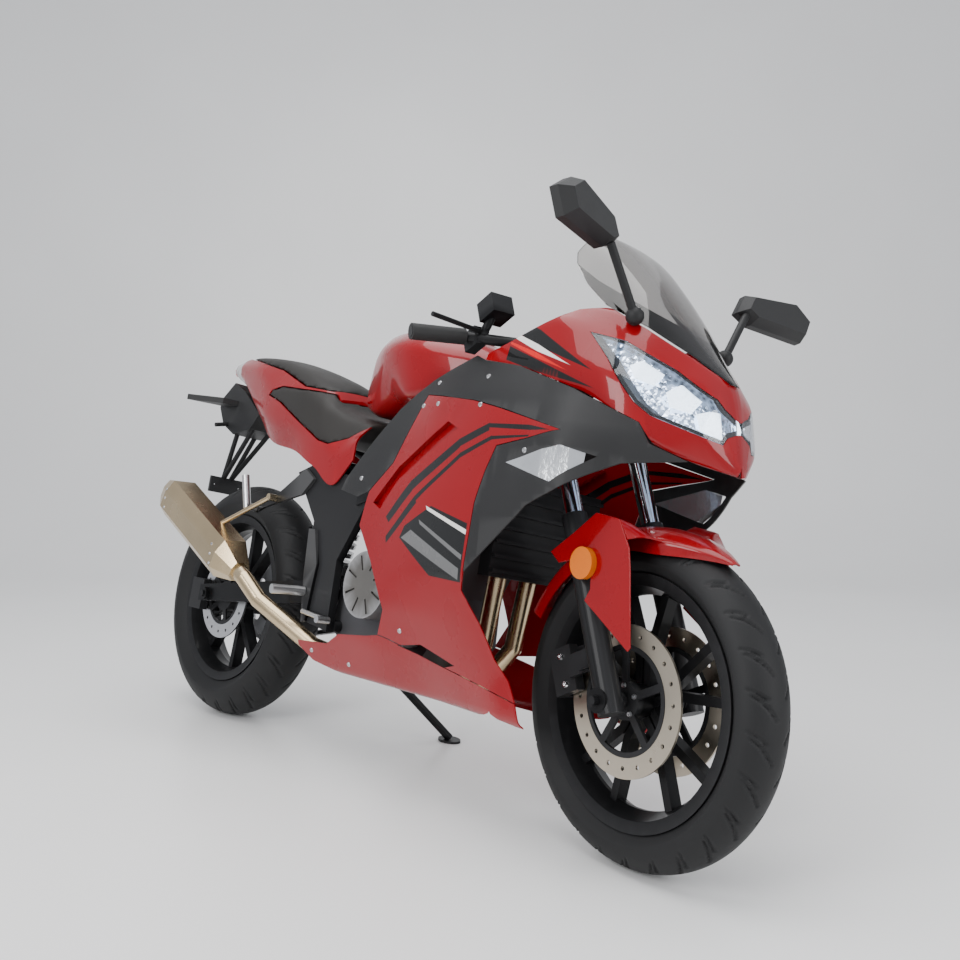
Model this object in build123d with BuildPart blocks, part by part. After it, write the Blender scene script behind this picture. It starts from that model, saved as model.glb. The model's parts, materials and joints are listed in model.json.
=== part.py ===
"""Sport motorcycle leaning on its side stand, front wheel turned slightly to the right.

The machine faces +X, its left side is +Y and +Z is up. Every piece is drawn on the upright bike with
straight steering: X = 0 at the rear axle, Z = 0 on the ground. The last part of the script turns the
steering, leans the bike until its stand reaches the ground and centres the whole on the ground.
"""
import os
from math import asin, atan2, cos, degrees, hypot, pi, radians, sin, sqrt

from build123d import *

os.makedirs("parts", exist_ok=True)

# Chassis sizes
wheelbase = 1400.0
rake = 24.0
trail = 93.0
lean = 11.8
steer_rest = -8.5
seat_gap = 0.3
panel_wall = 3.0

# Wheels and tyres
front_tyre_radius = 293.0
front_tyre_width = 110.0
rear_tyre_radius = 314.0
rear_tyre_width = 140.0
bead_radius = 216.0
flange_radius = 226.0
front_rim_width = 84.0
rear_rim_width = 104.0
flange_width = 5.0
bead_bevel = 5.0
crown_share = 0.88
crown_steps = 12
spoke_pairs = 5
axle_radius = 8.5
running_gap = 0.05

# Brakes
front_disc_radius = 134.0
front_disc_offset = 55.4
rear_disc_radius = 114.0
rear_disc_offset = -63.5
disc_thickness = 4.5
disc_band = 36.0
caliper_gap = 6.0
caliper_behind = 115.0
caliper_at = 84.0

# Fork
fork_spread = 100.0
fork_offset = 40.0
stanchion_radius = 18.5
slider_radius = 24.0
stem_radius = 15.0
lower_yoke_at = 500.0
upper_yoke_at = 668.0
yoke_thickness = 26.0
slider_top_at = 345.0
fork_top_at = 730.0
bar_radius = 11.0
grip_radius = 16.5
grip_length = 122.0
grip_end_y = 340.0
bar_at = 754.0
bar_bend_x = -48.0
bar_end_x = -74.0

# Swingarm, chain and stand
pivot_x = 500.0
pivot_z = 372.0
arm_inner_y = 97.0
arm_width = 24.0
pivot_tube_radius = 20.0
stay_radius = 8.0
cowl_stay = (1250.0, 905.0)
shock_top = (448.0, 645.0)
shock_foot = (390.0, 400.0)
shock_eye_radius = 15.0
shock_pin_radius = 6.0
spring_radius = 31.0
spring_turns = 7
chain_y = 87.0
chain_pitch = 15.875
rear_teeth = 42
front_teeth = 14
sprocket_thickness = 6.0
output_x = 590.0
output_z = 372.0
engine_half = 92.0
engine_head_half = 84.0
stand_pivot = (545.0, 104.0, 205.0)
stand_direction = (0.29, 0.727, -0.619)
stand_radius = 10.0

# Places of the axles and of the steering frame, whose Z runs up the steering axis
front_axle = Vector(wheelbase, 0, front_tyre_radius)
rear_axle = Vector(0, 0, rear_tyre_radius)
steer_up = Vector(-sin(radians(rake)), 0, cos(radians(rake)))
steer_ahead = Vector(cos(radians(rake)), 0, sin(radians(rake)))
axle_lead = front_tyre_radius * sin(radians(rake)) - trail * cos(radians(rake))
steering_frame = Plane(front_axle - steer_ahead * axle_lead, x_dir=steer_ahead, z_dir=steer_up)


def side_outline(points, shrink=0.0):
    """Draw a closed polygon given as (x, z) in the side view, on the plane that faces -Y."""
    with BuildSketch(Plane.XZ) as outline:
        with BuildLine():
            Polyline(*points, close=True)
        make_face()
        if shrink:
            offset(amount=-shrink, kind=Kind.INTERSECTION)
    return outline.sketch


def refined(rows, steps):
    """Add rows between the given ones, on cubic curves that run through them."""
    fine = []
    for number in range(len(rows) - 1):
        before = rows[max(number - 1, 0)]
        this, after = rows[number], rows[number + 1]
        beyond = rows[min(number + 2, len(rows) - 1)]
        span = after[0] - this[0]
        for step in range(steps):
            t = step / steps
            blend_ahead = 3 * t**2 - 2 * t**3
            leave, arrive = t**3 - 2 * t**2 + t, t**3 - t**2
            points = []
            for a, b, c, d in zip(before[1], this[1], after[1], beyond[1]):
                slope_b = [(w - v) / (after[0] - before[0]) * span for v, w in zip(a, c)]
                slope_c = [(w - v) / (beyond[0] - this[0]) * span for v, w in zip(b, d)]
                points.append(tuple(
                    v + (w - v) * blend_ahead + m * leave + n * arrive
                    for v, w, m, n in zip(b, c, slope_b, slope_c)
                ))
            fine.append((this[0] + span * t, points))
    return fine + [rows[-1]]


def softened(points, rounds):
    """Cut the corners of a closed polygon, each round at a quarter of both edges."""
    for _ in range(rounds):
        ahead = points[1:] + points[:1]
        points = [
            (p[0] + (q[0] - p[0]) * share, p[1] + (q[1] - p[1]) * share)
            for p, q in zip(points, ahead) for share in (0.25, 0.75)
        ]
    return points


def skin(rows, inset=0.0, ends=(0.0, 0.0), steps=2, soften=0):
    """Loft symmetric cross-sections, given as (x, [(half width, z), ...] from the top down)."""
    fine = refined(rows, steps)
    with BuildPart() as body:
        for number, (x, half) in enumerate(fine):
            shift = ends[0] if number == 0 else -ends[1] if number == len(fine) - 1 else 0.0
            right = [(-y, z) for y, z in reversed(half) if y > 0]
            with BuildSketch(Plane.YZ.offset(x + shift)):
                with BuildLine():
                    Polyline(*softened(half + right, soften), close=True)
                make_face()
                if inset:
                    offset(amount=-inset, kind=Kind.INTERSECTION)
        loft(ruled=True)
    return body.part


def rod(start, end, radius):
    """Round bar between two points."""
    way = Vector(end) - Vector(start)
    with BuildPart() as bar:
        with BuildSketch(Plane(Vector(start), z_dir=way)):
            Circle(radius)
        extrude(amount=way.length)
    return bar.part


def mirrored(point):
    """The same point on the left side."""
    return (point[0], -point[1], point[2])


# Nose: rows of x and the right half of the section, widths against heights from the ridge down
nose_rows = [
    (1040, [(60, 960), (150, 940), (190, 905), (196, 880), (190, 840), (60, 830)]),
    (1200, [(60, 1010), (150, 1000), (186, 963), (200, 880), (196, 830), (60, 800)]),
    (1300, [(60, 1005), (148, 988), (175, 935), (192, 870), (192, 815), (60, 770)]),
    (1370, [(50, 966), (122, 956), (150, 922), (182, 838), (176, 775), (60, 745)]),
    (1440, [(30, 918), (70, 905), (108, 872), (138, 790), (126, 728), (50, 722)]),
    (1495, [(12, 852), (26, 844), (62, 828), (88, 762), (66, 712), (25, 706)]),
    (1525, [(5, 735), (10, 732), (16, 726), (20, 718), (16, 706), (7, 704)]),
]
nose_outline = [
    (1540, 700), (1540, 800), (1490, 869), (1440, 905), (1370, 950), (1300, 988), (1240, 985),
    (1200, 965), (1100, 925), (1040, 905), (1040, 890), (1150, 870), (1300, 820), (1410, 770),
    (1430, 735), (1480, 713),
]
lamp_outline = [
    (1513, 752), (1516, 790), (1495, 832), (1440, 873), (1360, 917), (1288, 934), (1340, 880),
    (1400, 803), (1425, 783),
]
nose_outer = skin(nose_rows)
nose_inner = skin(nose_rows, inset=panel_wall, ends=(-1.0, panel_wall))

with BuildPart() as nose_cowl:
    add(nose_outer)
    add(nose_inner, mode=Mode.SUBTRACT)
    extrude(side_outline(nose_outline), amount=260, both=True, mode=Mode.INTERSECT)
    extrude(side_outline(lamp_outline), amount=260, both=True, mode=Mode.SUBTRACT)
    with BuildSketch(Plane.XY.offset(860)):
        with BuildLine():
            Polyline((1180, 140), (1290, 138), (1370, 108), (1440, 54), (1470, 12),
                     (1470, -12), (1440, -54), (1370, -108), (1290, -138), (1180, -140), close=True)
        make_face()
    extrude(amount=200, mode=Mode.SUBTRACT)

lamp_depth = 45.0
with BuildPart() as headlamp_right:
    add(nose_outer)
    extrude(side_outline(lamp_outline, seat_gap), amount=260, mode=Mode.INTERSECT)
    with BuildSketch(Plane.XY.offset(700)):
        with BuildLine():
            Polyline((1280, -176 + lamp_depth), (1506, -10), (1600, -10), (1600, -300), (1280, -300),
                     close=True)
        make_face()
    extrude(amount=300, mode=Mode.INTERSECT)

# Screen: a bubble with shoulders, cut along its lower edge
screen_wall = 3.0
screen_rows = [
    (1190, [(0, 1178), (70, 1174), (120, 1150), (146, 1095), (150, 1040), (150, 860)]),
    (1240, [(0, 1148), (70, 1144), (122, 1110), (152, 1050), (156, 1000), (156, 860)]),
    (1300, [(0, 1092), (60, 1088), (112, 1055), (146, 1000), (150, 970), (150, 860)]),
    (1370, [(0, 1015), (50, 1010), (92, 985), (118, 955), (124, 940), (124, 860)]),
    (1440, [(0, 930), (26, 927), (48, 916), (62, 908), (68, 900), (70, 860)]),
    (1492, [(0, 872), (6, 871), (10, 870), (12, 868), (13, 866), (14, 860)]),
]
screen_outline = [
    (1494, 866), (1494, 900), (1400, 1010), (1300, 1120), (1222, 1170), (1203, 1156), (1190, 1110),
    (1200, 1085), (1242, 1036), (1292, 992), (1372, 952), (1442, 907),
]
with BuildPart() as windscreen:
    add(skin(screen_rows))
    add(skin(screen_rows, inset=screen_wall, ends=(-1.0, screen_wall)), mode=Mode.SUBTRACT)
    extrude(side_outline(screen_outline), amount=260, both=True, mode=Mode.INTERSECT)

# Side skin: rows of x and the widths at these heights, from the shoulder down to the keel
side_heights = (930, 820, 738, 610, 470, 375, 290, 212)
side_widths = [
    (500, (110, 150, 160, 168, 172, 170, 164, 136)),
    (650, (120, 160, 178, 192, 186, 176, 164, 134)),
    (800, (140, 172, 190, 206, 198, 188, 170, 132)),
    (950, (165, 206, 218, 228, 216, 198, 166, 130)),
    (1100, (182, 226, 236, 238, 228, 204, 178, 156)),
    (1220, (186, 218, 240, 240, 222, 198, 186, 185)),
    (1330, (176, 196, 236, 226, 204, 188, 184, 182)),
    (1500, (20, 40, 74, 70, 60, 50, 40, 30)),
]
side_rows = [
    (x, [(60, 960)] + list(zip(widths, side_heights)) + [(40, 204)]) for x, widths in side_widths
]
side_outer = skin(side_rows)
side_inner = skin(side_rows, inset=panel_wall, ends=(-1.0, -1.0))

fairing_outline = [
    (872, 825), (950, 815), (1060, 800), (1150, 780), (1310, 738), (1155, 708), (1135, 660),
    (1118, 600), (1105, 468), (1100, 435), (1146, 380), (1186, 320), (1225, 288), (1252, 252),
    (1006, 285), (850, 312), (820, 315), (840, 369), (810, 418), (780, 466), (722, 537), (742, 612),
    (808, 676), (836, 740),
]
side_panel_outline = [
    (1040, 890), (1150, 870), (1300, 820), (1410, 770), (1430, 735), (1480, 713), (1400, 692),
    (1300, 625), (1250, 600), (1105, 468), (1118, 600), (1135, 660), (1155, 708), (1310, 738),
    (1150, 780), (1060, 800), (950, 815), (872, 825), (836, 740), (808, 676), (742, 612), (700, 598),
    (622, 612), (635, 640), (770, 800), (815, 832), (866, 858), (1000, 905),
]
pan_outline = [
    (507, 262), (623, 270), (672, 297), (778, 308), (820, 315), (850, 312), (1006, 285), (1252, 252),
    (1276, 203), (900, 203), (660, 206), (560, 222), (507, 250),
]
indicator_outline = [(1185, 677), (1300, 645), (1370, 698), (1310, 712)]
slot_outline = [(884, 303), (961, 315), (1067, 290), (1034, 282)]
vent_outline = [(1028, 744), (988, 760), (838, 668), (765, 588), (795, 575), (850, 640)]
vent_rib_places = (0.25, 0.62)
vent_depth = 12.0

keel_opening = [(400, 75), (1050, 75), (1110, 144), (1180, 178), (1300, 178)]
with BuildPart() as keel_room:
    with BuildSketch(Plane.XY.offset(150)):
        with BuildLine():
            Polyline(*keel_opening, *[(x, -y) for x, y in reversed(keel_opening)], close=True)
        make_face()
    extrude(amount=110)

# Air outlet behind the fairing's ridge: a shallow tray with two ribs across it
vent_rows = side_rows[1:5]
with BuildPart() as vent_pocket:
    add(skin(vent_rows))
    add(skin(vent_rows, inset=vent_depth, ends=(-1.0, -1.0)), mode=Mode.SUBTRACT)
    extrude(side_outline(vent_outline), amount=260, mode=Mode.INTERSECT)
    for share in vent_rib_places:
        x, z = 1028 + (795 - 1028) * share, 744 + (575 - 744) * share
        with Locations(Location((x, -200, z), (0, 20, 0))):
            Box(7, 200, 200, mode=Mode.SUBTRACT)
with BuildPart() as vent_tray:
    add(skin(vent_rows))
    add(skin(vent_rows, inset=vent_depth + panel_wall, ends=(-1.0, -1.0)), mode=Mode.SUBTRACT)
    extrude(side_outline(vent_outline, -panel_wall), amount=260, mode=Mode.INTERSECT)

panels = {}
for name, outline in (
    ("side_fairing", fairing_outline), ("side_panel", side_panel_outline), ("lower_cowl", pan_outline),
):
    with BuildPart() as panel:
        add(side_outer)
        add(side_inner, mode=Mode.SUBTRACT)
        extrude(side_outline(outline, seat_gap / 2), amount=260, mode=Mode.INTERSECT)
        add(keel_room.part, mode=Mode.SUBTRACT)
        extrude(side_outline(slot_outline), amount=260, mode=Mode.SUBTRACT)
        if name == "side_panel":
            extrude(side_outline(indicator_outline), amount=260, mode=Mode.SUBTRACT)
        if name == "side_fairing":
            add(vent_tray.part)
            add(vent_pocket.part, mode=Mode.SUBTRACT)
    panels[name] = panel.part

indicator_back_y = 214.0
with BuildPart() as front_indicator:
    add(side_outer)
    extrude(side_outline(indicator_outline, seat_gap), amount=260, mode=Mode.INTERSECT)
    with BuildSketch(Plane.XZ):
        with Locations((1280, 680)):
            Rectangle(400, 200)
    extrude(amount=indicator_back_y, mode=Mode.SUBTRACT)


# Tank
tank_rows = [
    (488, [(0, 962), (40, 955), (58, 905), (60, 865), (54, 836), (38, 826)]),
    (540, [(0, 1012), (60, 1000), (92, 950), (86, 870), (74, 822), (50, 812)]),
    (650, [(0, 1026), (90, 1010), (150, 955), (138, 900), (112, 850), (90, 830)]),
    (760, [(0, 1016), (100, 1000), (170, 950), (160, 890), (146, 836), (120, 828)]),
    (870, [(0, 988), (90, 975), (138, 932), (138, 890), (130, 862), (114, 850)]),
    (940, [(0, 958), (60, 948), (94, 922), (96, 902), (90, 886), (78, 876)]),
    (984, [(0, 934), (34, 930), (54, 918), (56, 908), (50, 900), (40, 894)]),
]
tank_foot = (880.0, 835.0)
with BuildPart() as fuel_tank:
    add(skin(tank_rows, soften=1))
    for side in (-1, 1):
        with Locations((tank_foot[0], side * 104, tank_foot[1] + 15)):
            Box(40, 24, 30)
    with BuildSketch(Plane.XY.offset(1004)):
        with Locations((800, 0)):
            Circle(42)
    extrude(amount=14)

# Tail: one outer form, split along the seats' edges
tail_rows = [
    (-196, [(0, 990), (28, 988), (44, 975), (48, 955), (30, 940)]),
    (-120, [(0, 1000), (46, 994), (66, 965), (64, 930), (40, 908)]),
    (20, [(0, 992), (74, 982), (98, 940), (94, 850), (60, 806)]),
    (140, [(0, 974), (88, 962), (118, 890), (118, 800), (90, 742)]),
    (300, [(0, 932), (92, 915), (130, 866), (136, 780), (118, 712)]),
    (392, [(0, 895), (84, 874), (126, 838), (140, 760), (136, 682)]),
    (430, [(0, 838), (84, 834), (118, 822), (142, 750), (138, 668)]),
    (515, [(0, 806), (70, 803), (108, 792), (142, 710), (139, 628)]),
    (580, [(0, 790), (60, 788), (98, 781), (138, 740), (138, 690)]),
]
rider_seat_edge = [
    (124, 862), (200, 838), (337, 775), (425, 735), (470, 726), (534, 743), (575, 768), (590, 790),
    (590, 1100), (414, 1100), (414, 862), (294, 872), (196, 884), (140, 876),
]
passenger_seat_edge = [
    (-150, 1100), (-140, 996), (0, 966), (150, 932), (300, 878), (388, 868), (410, 880), (410, 1100),
]
hump_width = 84.0
tail_wall = 4.0
with BuildPart() as tail_form:
    add(skin(tail_rows, soften=1))
with BuildPart() as rider_seat_room:
    extrude(side_outline(rider_seat_edge), amount=200, both=True)
    with Locations((247, 0, 850)):
        Box(334, 2 * hump_width, 300, mode=Mode.SUBTRACT)
with BuildPart() as tail_cowl:
    add(tail_form.part)
    extrude(side_outline(passenger_seat_edge), amount=200, both=True, mode=Mode.SUBTRACT)
    add(rider_seat_room.part, mode=Mode.SUBTRACT)
    add(skin(tail_rows, inset=tail_wall, ends=(tail_wall, -1.0), soften=1), mode=Mode.SUBTRACT)
    with BuildSketch(Plane.YZ.offset(-140)):
        with BuildLine():
            Polyline((-50, 500), (-50, 760), (-30, 910), (30, 910), (50, 760), (50, 500), close=True)
        make_face()
    extrude(amount=800, mode=Mode.SUBTRACT)
    with Locations((420, 0, 640)):
        Box(440, 212, 170, mode=Mode.SUBTRACT)
    with Locations((490, 0, 600)):
        Box(320, 266, 190, mode=Mode.SUBTRACT)
with BuildPart() as rider_seat:
    add(tail_form.part)
    extrude(side_outline(rider_seat_edge, seat_gap), amount=200, both=True, mode=Mode.INTERSECT)
    with Locations((247, 0, 850)):
        Box(334 + 2 * seat_gap, 2 * (hump_width + seat_gap), 300, mode=Mode.SUBTRACT)
with BuildPart() as passenger_seat:
    add(tail_form.part)
    extrude(side_outline(passenger_seat_edge, seat_gap), amount=200, both=True, mode=Mode.INTERSECT)
with BuildPart() as tail_lamp:
    with BuildSketch(Plane.YZ.offset(-197)):
        with BuildLine():
            Polyline((-40, 968), (-32, 976), (32, 976), (40, 968), (34, 950), (28, 944), (-28, 944),
                     (-34, 950), close=True)
        make_face()
    extrude(amount=-26, taper=12)


# Wheels, drawn about the Y axis at the origin
def rim(width, hub_half, hub_radius, spoke_width):
    """Cast wheel: barrel with flanges, hub with its axle bore, and spokes that fork to the barrel."""
    half = width / 2
    with BuildPart() as wheel:
        with BuildSketch(Plane.XY):
            with BuildLine():
                Polyline(
                    (flange_radius, half), (flange_radius, half - flange_width),
                    (bead_radius, half - flange_width - 2), (bead_radius - 2, half - 24),
                    (bead_radius - 20, half - 34), (bead_radius - 20, 34 - half),
                    (bead_radius - 2, 24 - half), (bead_radius, flange_width + 2 - half),
                    (flange_radius, flange_width - half), (flange_radius, -half),
                    (bead_radius - 12, -half + 3), (bead_radius - 27, 38 - half),
                    (bead_radius - 27, half - 38), (bead_radius - 12, half - 3), close=True,
                )
            make_face()
        revolve(axis=Axis.Y)
        with BuildSketch(Plane.XZ.offset(-hub_half)):
            Circle(hub_radius)
        extrude(amount=2 * hub_half)
        for number in range(spoke_pairs):
            turn = 360.0 / spoke_pairs * number
            for side in (-1, 1):
                spoke = Plane.XZ.rotated((0, -turn, 0))
                with BuildSketch(spoke.offset(-spoke_width / 2)):
                    with BuildLine():
                        Polyline((hub_radius - 4, side * 2), (78, side * 2), (bead_radius - 24, side * 44),
                                 (bead_radius - 24, side * 62), (72, side * 18),
                                 (hub_radius - 6, side * 18), close=True)
                    make_face()
                extrude(amount=spoke_width)
        with BuildSketch(Plane.XZ.offset(-hub_half)):
            Circle(axle_radius + running_gap)
        extrude(amount=2 * hub_half, mode=Mode.SUBTRACT)
    return wheel


def tyre(radius, width, rim_width):
    """Tyre ring, solid inside: beads between the rim's flanges and an elliptic crown of short flats."""
    half, seat = width / 2, rim_width / 2 - flange_width - seat_gap
    bead = bead_radius + seat_gap
    crown_height = crown_share * half
    crown = []
    for step in range(crown_steps + 1):
        turn = pi * step / crown_steps
        crown.append((radius - crown_height * (1 - sin(turn)), -half * cos(turn)))
    with BuildPart() as ring:
        with BuildSketch(Plane.XY):
            with BuildLine():
                Polyline((bead, seat - bead_bevel), (bead, bead_bevel - seat), (bead + 2 * bead_bevel, -seat),
                         *crown, (bead + 2 * bead_bevel, seat), close=True)
            make_face()
        revolve(axis=Axis.Y)
    return ring


def disc(radius, centre_y, hole_rows):
    """Brake disc ring with rows of (radius, count) vent holes, centred at this Y."""
    with BuildPart() as ring:
        with BuildSketch(Plane.XZ.offset(-centre_y - disc_thickness / 2)):
            Circle(radius)
            Circle(radius - disc_band, mode=Mode.SUBTRACT)
            for hole_radius, count in hole_rows:
                with PolarLocations(hole_radius, count):
                    Circle(4.0, mode=Mode.SUBTRACT)
        extrude(amount=disc_thickness)
    return ring


front_hub_half = 48.0
rear_hub_half = 70.0
carrier_radius = front_disc_radius - disc_band - seat_gap
with BuildPart() as front_rim:
    add(rim(front_rim_width, front_hub_half, 30.0, 26.0).part)
    for side in (-1, 1):
        with BuildSketch(Plane.XZ.offset(-side * front_disc_offset - 3)):
            Circle(carrier_radius)
            Circle(carrier_radius - 9, mode=Mode.SUBTRACT)
            with PolarLocations(58, 5):
                Rectangle(78, 14)
            Circle(34)
            Circle(axle_radius + running_gap, mode=Mode.SUBTRACT)
        extrude(amount=6)
        with BuildSketch(Plane.XZ.offset(-side * 50 - 6)):
            Circle(34)
            Circle(axle_radius + running_gap, mode=Mode.SUBTRACT)
        extrude(amount=12)
front_tyre = tyre(front_tyre_radius, front_tyre_width, front_rim_width)
with BuildPart() as front_discs:
    for side in (-1, 1):
        add(disc(front_disc_radius, side * front_disc_offset, ((116, 20),)).part)

with BuildPart() as rear_rim:
    add(rim(rear_rim_width, rear_hub_half - 8, 40.0, 30.0).part)
rear_tyre = tyre(rear_tyre_radius, rear_tyre_width, rear_rim_width)
rear_disc = disc(rear_disc_radius, rear_disc_offset, ((97, 16),))
with BuildPart() as rear_disc_carrier:
    with BuildSketch(Plane.XZ.offset(-rear_disc_offset - disc_thickness / 2)):
        Circle(rear_disc_radius - disc_band - seat_gap)
        Circle(rear_disc_radius - disc_band - 8, mode=Mode.SUBTRACT)
        with PolarLocations(48, 5):
            Rectangle(56, 14)
        Circle(40)
        Circle(axle_radius + running_gap, mode=Mode.SUBTRACT)
    extrude(amount=disc_thickness)
with BuildPart() as rear_wheel_rim:
    add(rear_rim.part)
    add(rear_disc_carrier.part)
sprocket_radius = chain_pitch / 2 / sin(radians(180 / rear_teeth))
with BuildPart() as rear_sprocket:
    with BuildSketch(Plane.XZ.offset(-chain_y - sprocket_thickness / 2)):
        Circle(sprocket_radius + 3)
        Circle(28, mode=Mode.SUBTRACT)
        with PolarLocations(sprocket_radius + 3, rear_teeth):
            Circle(5.0, mode=Mode.SUBTRACT)
        with PolarLocations(75, 5):
            Circle(15, mode=Mode.SUBTRACT)
    extrude(amount=sprocket_thickness)
    with BuildSketch(Plane.XZ.offset(-rear_hub_half + 8 - seat_gap)):
        Circle(40)
        Circle(28, mode=Mode.SUBTRACT)
    extrude(amount=-(chain_y - sprocket_thickness / 2 - rear_hub_half + 8 - seat_gap))


# Engine: crankcase, inclined cylinders and head, with its side covers
crankcase_outline = [
    (548, 300), (600, 262), (860, 262), (905, 320), (900, 420), (800, 470), (640, 470), (548, 440),
]
cylinder_outline = [(760, 455), (895, 405), (985, 590), (955, 680), (850, 705), (800, 650)]
with BuildPart() as engine:
    extrude(side_outline(crankcase_outline), amount=engine_half, both=True)
    extrude(side_outline(cylinder_outline), amount=engine_head_half, both=True)
    with Locations(((540 + 660) / 2, engine_half, output_z)):
        Box(120, 2 * (engine_half - chain_y + 17), 120, mode=Mode.SUBTRACT)
    add(rod((output_x, engine_half - 24, output_z),
            (output_x, chain_y - sprocket_thickness / 2 - seat_gap, output_z), 12))
    add(rod((pivot_x, -200, pivot_z), (pivot_x, 200, pivot_z), 55), mode=Mode.SUBTRACT)
with BuildPart() as engine_covers:
    for side, x, z, radius, depth in ((-1, 712, 412, 74, 56), (-1, 838, 330, 34, 40), (1, 760, 392, 70, 50)):
        start = side * (engine_half + seat_gap)
        add(rod((x, start, z), (x, start + side * depth, z), radius))
    outer_y = engine_half + seat_gap + 56
    with BuildSketch(Plane.XZ.offset(outer_y)):
        with Locations((712, 412)):
            with PolarLocations(50, 8, start_angle=22):
                Rectangle(34, 5)
    extrude(amount=-6, mode=Mode.SUBTRACT)

# Main frame: twin spars from the head tube to the pivot plates, subframe rails and stays
frame_plate_y = 112.0
plate_thickness = 20.0
head_tube_radius = 30.0
pivot_bolt_radius = 8.0
radiator_back = 1065.0
plate_seat = 866.0
cowl_stay_at = (Vector(cowl_stay[0], 0, cowl_stay[1]) - steering_frame.origin).dot(steer_up)
frame_plate_outline = [
    (357, 655), (458, 540), (462, 446), (482, 304), (580, 292), (575, 456), (650, 590), (640, 640),
    (430, 680),
]


with BuildPart() as nose_bar:
    add(rod((cowl_stay[0], -240, cowl_stay[1]), (cowl_stay[0], 240, cowl_stay[1]), stay_radius))
    add(skin(nose_rows, inset=panel_wall + seat_gap), mode=Mode.INTERSECT)

head_low, head_high = lower_yoke_at + yoke_thickness + 1, upper_yoke_at - 1
with BuildPart() as main_frame:
    with BuildSketch(steering_frame.offset(head_low)):
        Circle(head_tube_radius)
    extrude(amount=head_high - head_low)
    for side in (-1, 1):
        for x, y, z, height in ((1085, 22, 812, 92), (930, 112, 742, 86), (620, 122, 620, 70)):
            with BuildSketch(Plane.YZ.offset(x)):
                with Locations((side * y, z)):
                    Rectangle(30, height)
        loft(ruled=True)
        inner = side * frame_plate_y - (plate_thickness if side < 0 else 0)
        extrude(side_outline(frame_plate_outline).moved(Location((0, inner + plate_thickness, 0))),
                amount=plate_thickness)
    for start, end, radius in (
        ((1000, -84, 770), (950, -100, 600), 11),
        ((950, -engine_head_half - seat_gap, 600), (950, -114, 600), 16),
        ((565, -engine_half - seat_gap, 430), (565, -frame_plate_y, 430), 14),
        ((572, -engine_half - seat_gap, 305), (572, -frame_plate_y, 305), 14),
        ((600, -114, 640), (470, -100, 684), 12),
        ((tank_foot[0], -106, 740), (tank_foot[0], -106, tank_foot[1] - seat_gap), 9),
        ((966, -95, 655), (radiator_back - seat_gap, -95, 655), stay_radius),
        ((-70, -12, 922), (-70, -12, plate_seat + seat_gap), stay_radius),
        ((470, -100, 684), (300, -90, 742), 12),
        ((300, -90, 742), (130, -60, 812), 11),
        ((130, -60, 812), (-70, -32, 922), 9),
        ((404, -110, 650), (330, -80, 724), 8),
    ):
        add(rod(start, end, radius))
        add(rod(mirrored(start), mirrored(end), radius))
    for x, y, z, radius in (
        (470, 100, 684, 11), (130, 60, 812, 9), (-70, 32, 922, 9),
        (shock_top[0], frame_plate_y + 1, shock_top[1], shock_pin_radius),
    ):
        add(rod((x, -y, z), (x, y, z), radius))
    add(rod(tuple(steering_frame.origin + steer_up * cowl_stay_at), (cowl_stay[0], 0, cowl_stay[1]),
            stay_radius))
    add(nose_bar.part)
    add(rod((pivot_x, -frame_plate_y - 1, pivot_z), (pivot_x, frame_plate_y + 1, pivot_z),
            pivot_bolt_radius))
    with BuildSketch(steering_frame.offset(head_low - 1)):
        Circle(stem_radius + running_gap)
    extrude(amount=head_high - head_low + 2, mode=Mode.SUBTRACT)

# Swingarm with its pivot tube, axle and chain adjusters
with BuildPart() as swingarm:
    add(rod((pivot_x, -frame_plate_y + seat_gap, pivot_z), (pivot_x, frame_plate_y - seat_gap, pivot_z),
            pivot_tube_radius))
    for side in (-1, 1):
        for x, z, height, width in (
            (pivot_x, pivot_z, 36, 12), (450, 370, 52, 12), (400, 364, 56, arm_width),
            (-40, rear_tyre_radius, 44, arm_width),
        ):
            with BuildSketch(Plane.YZ.offset(x)):
                with Locations((side * (arm_inner_y + width / 2), z)):
                    Rectangle(width, height)
        loft(ruled=True)
    with BuildSketch(Plane.YZ.offset(346)):
        with Locations((0, 358)):
            Rectangle(2 * arm_inner_y, 44)
    extrude(amount=34)
    for side in (-1, 1):
        with BuildSketch(Plane.XZ.offset(side * 18 + 4)):
            with BuildLine():
                Polyline((352, 376), (380, 350), (404, 392), (404, 410), (380, 416), close=True)
            make_face()
        extrude(amount=-8)
    add(rod((shock_foot[0], -18, shock_foot[1]), (shock_foot[0], 18, shock_foot[1]), shock_pin_radius))
    add(rod((pivot_x, -frame_plate_y, pivot_z), (pivot_x, frame_plate_y, pivot_z),
            pivot_bolt_radius + running_gap), mode=Mode.SUBTRACT)
    nut_y = arm_inner_y + arm_width
    add(rod((0, -nut_y - 16, rear_tyre_radius), (0, nut_y + 16, rear_tyre_radius), axle_radius))
    for side in (-1, 1):
        add(rod((0, side * (nut_y - 1), rear_tyre_radius), (0, side * (nut_y + 12), rear_tyre_radius), 18))
    for start, end in ((-arm_inner_y, rear_disc_offset - disc_thickness / 2 - seat_gap),
                       (arm_inner_y, rear_hub_half - 8 + seat_gap)):
        add(rod((0, start, rear_tyre_radius), (0, end, rear_tyre_radius), 14))

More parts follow.
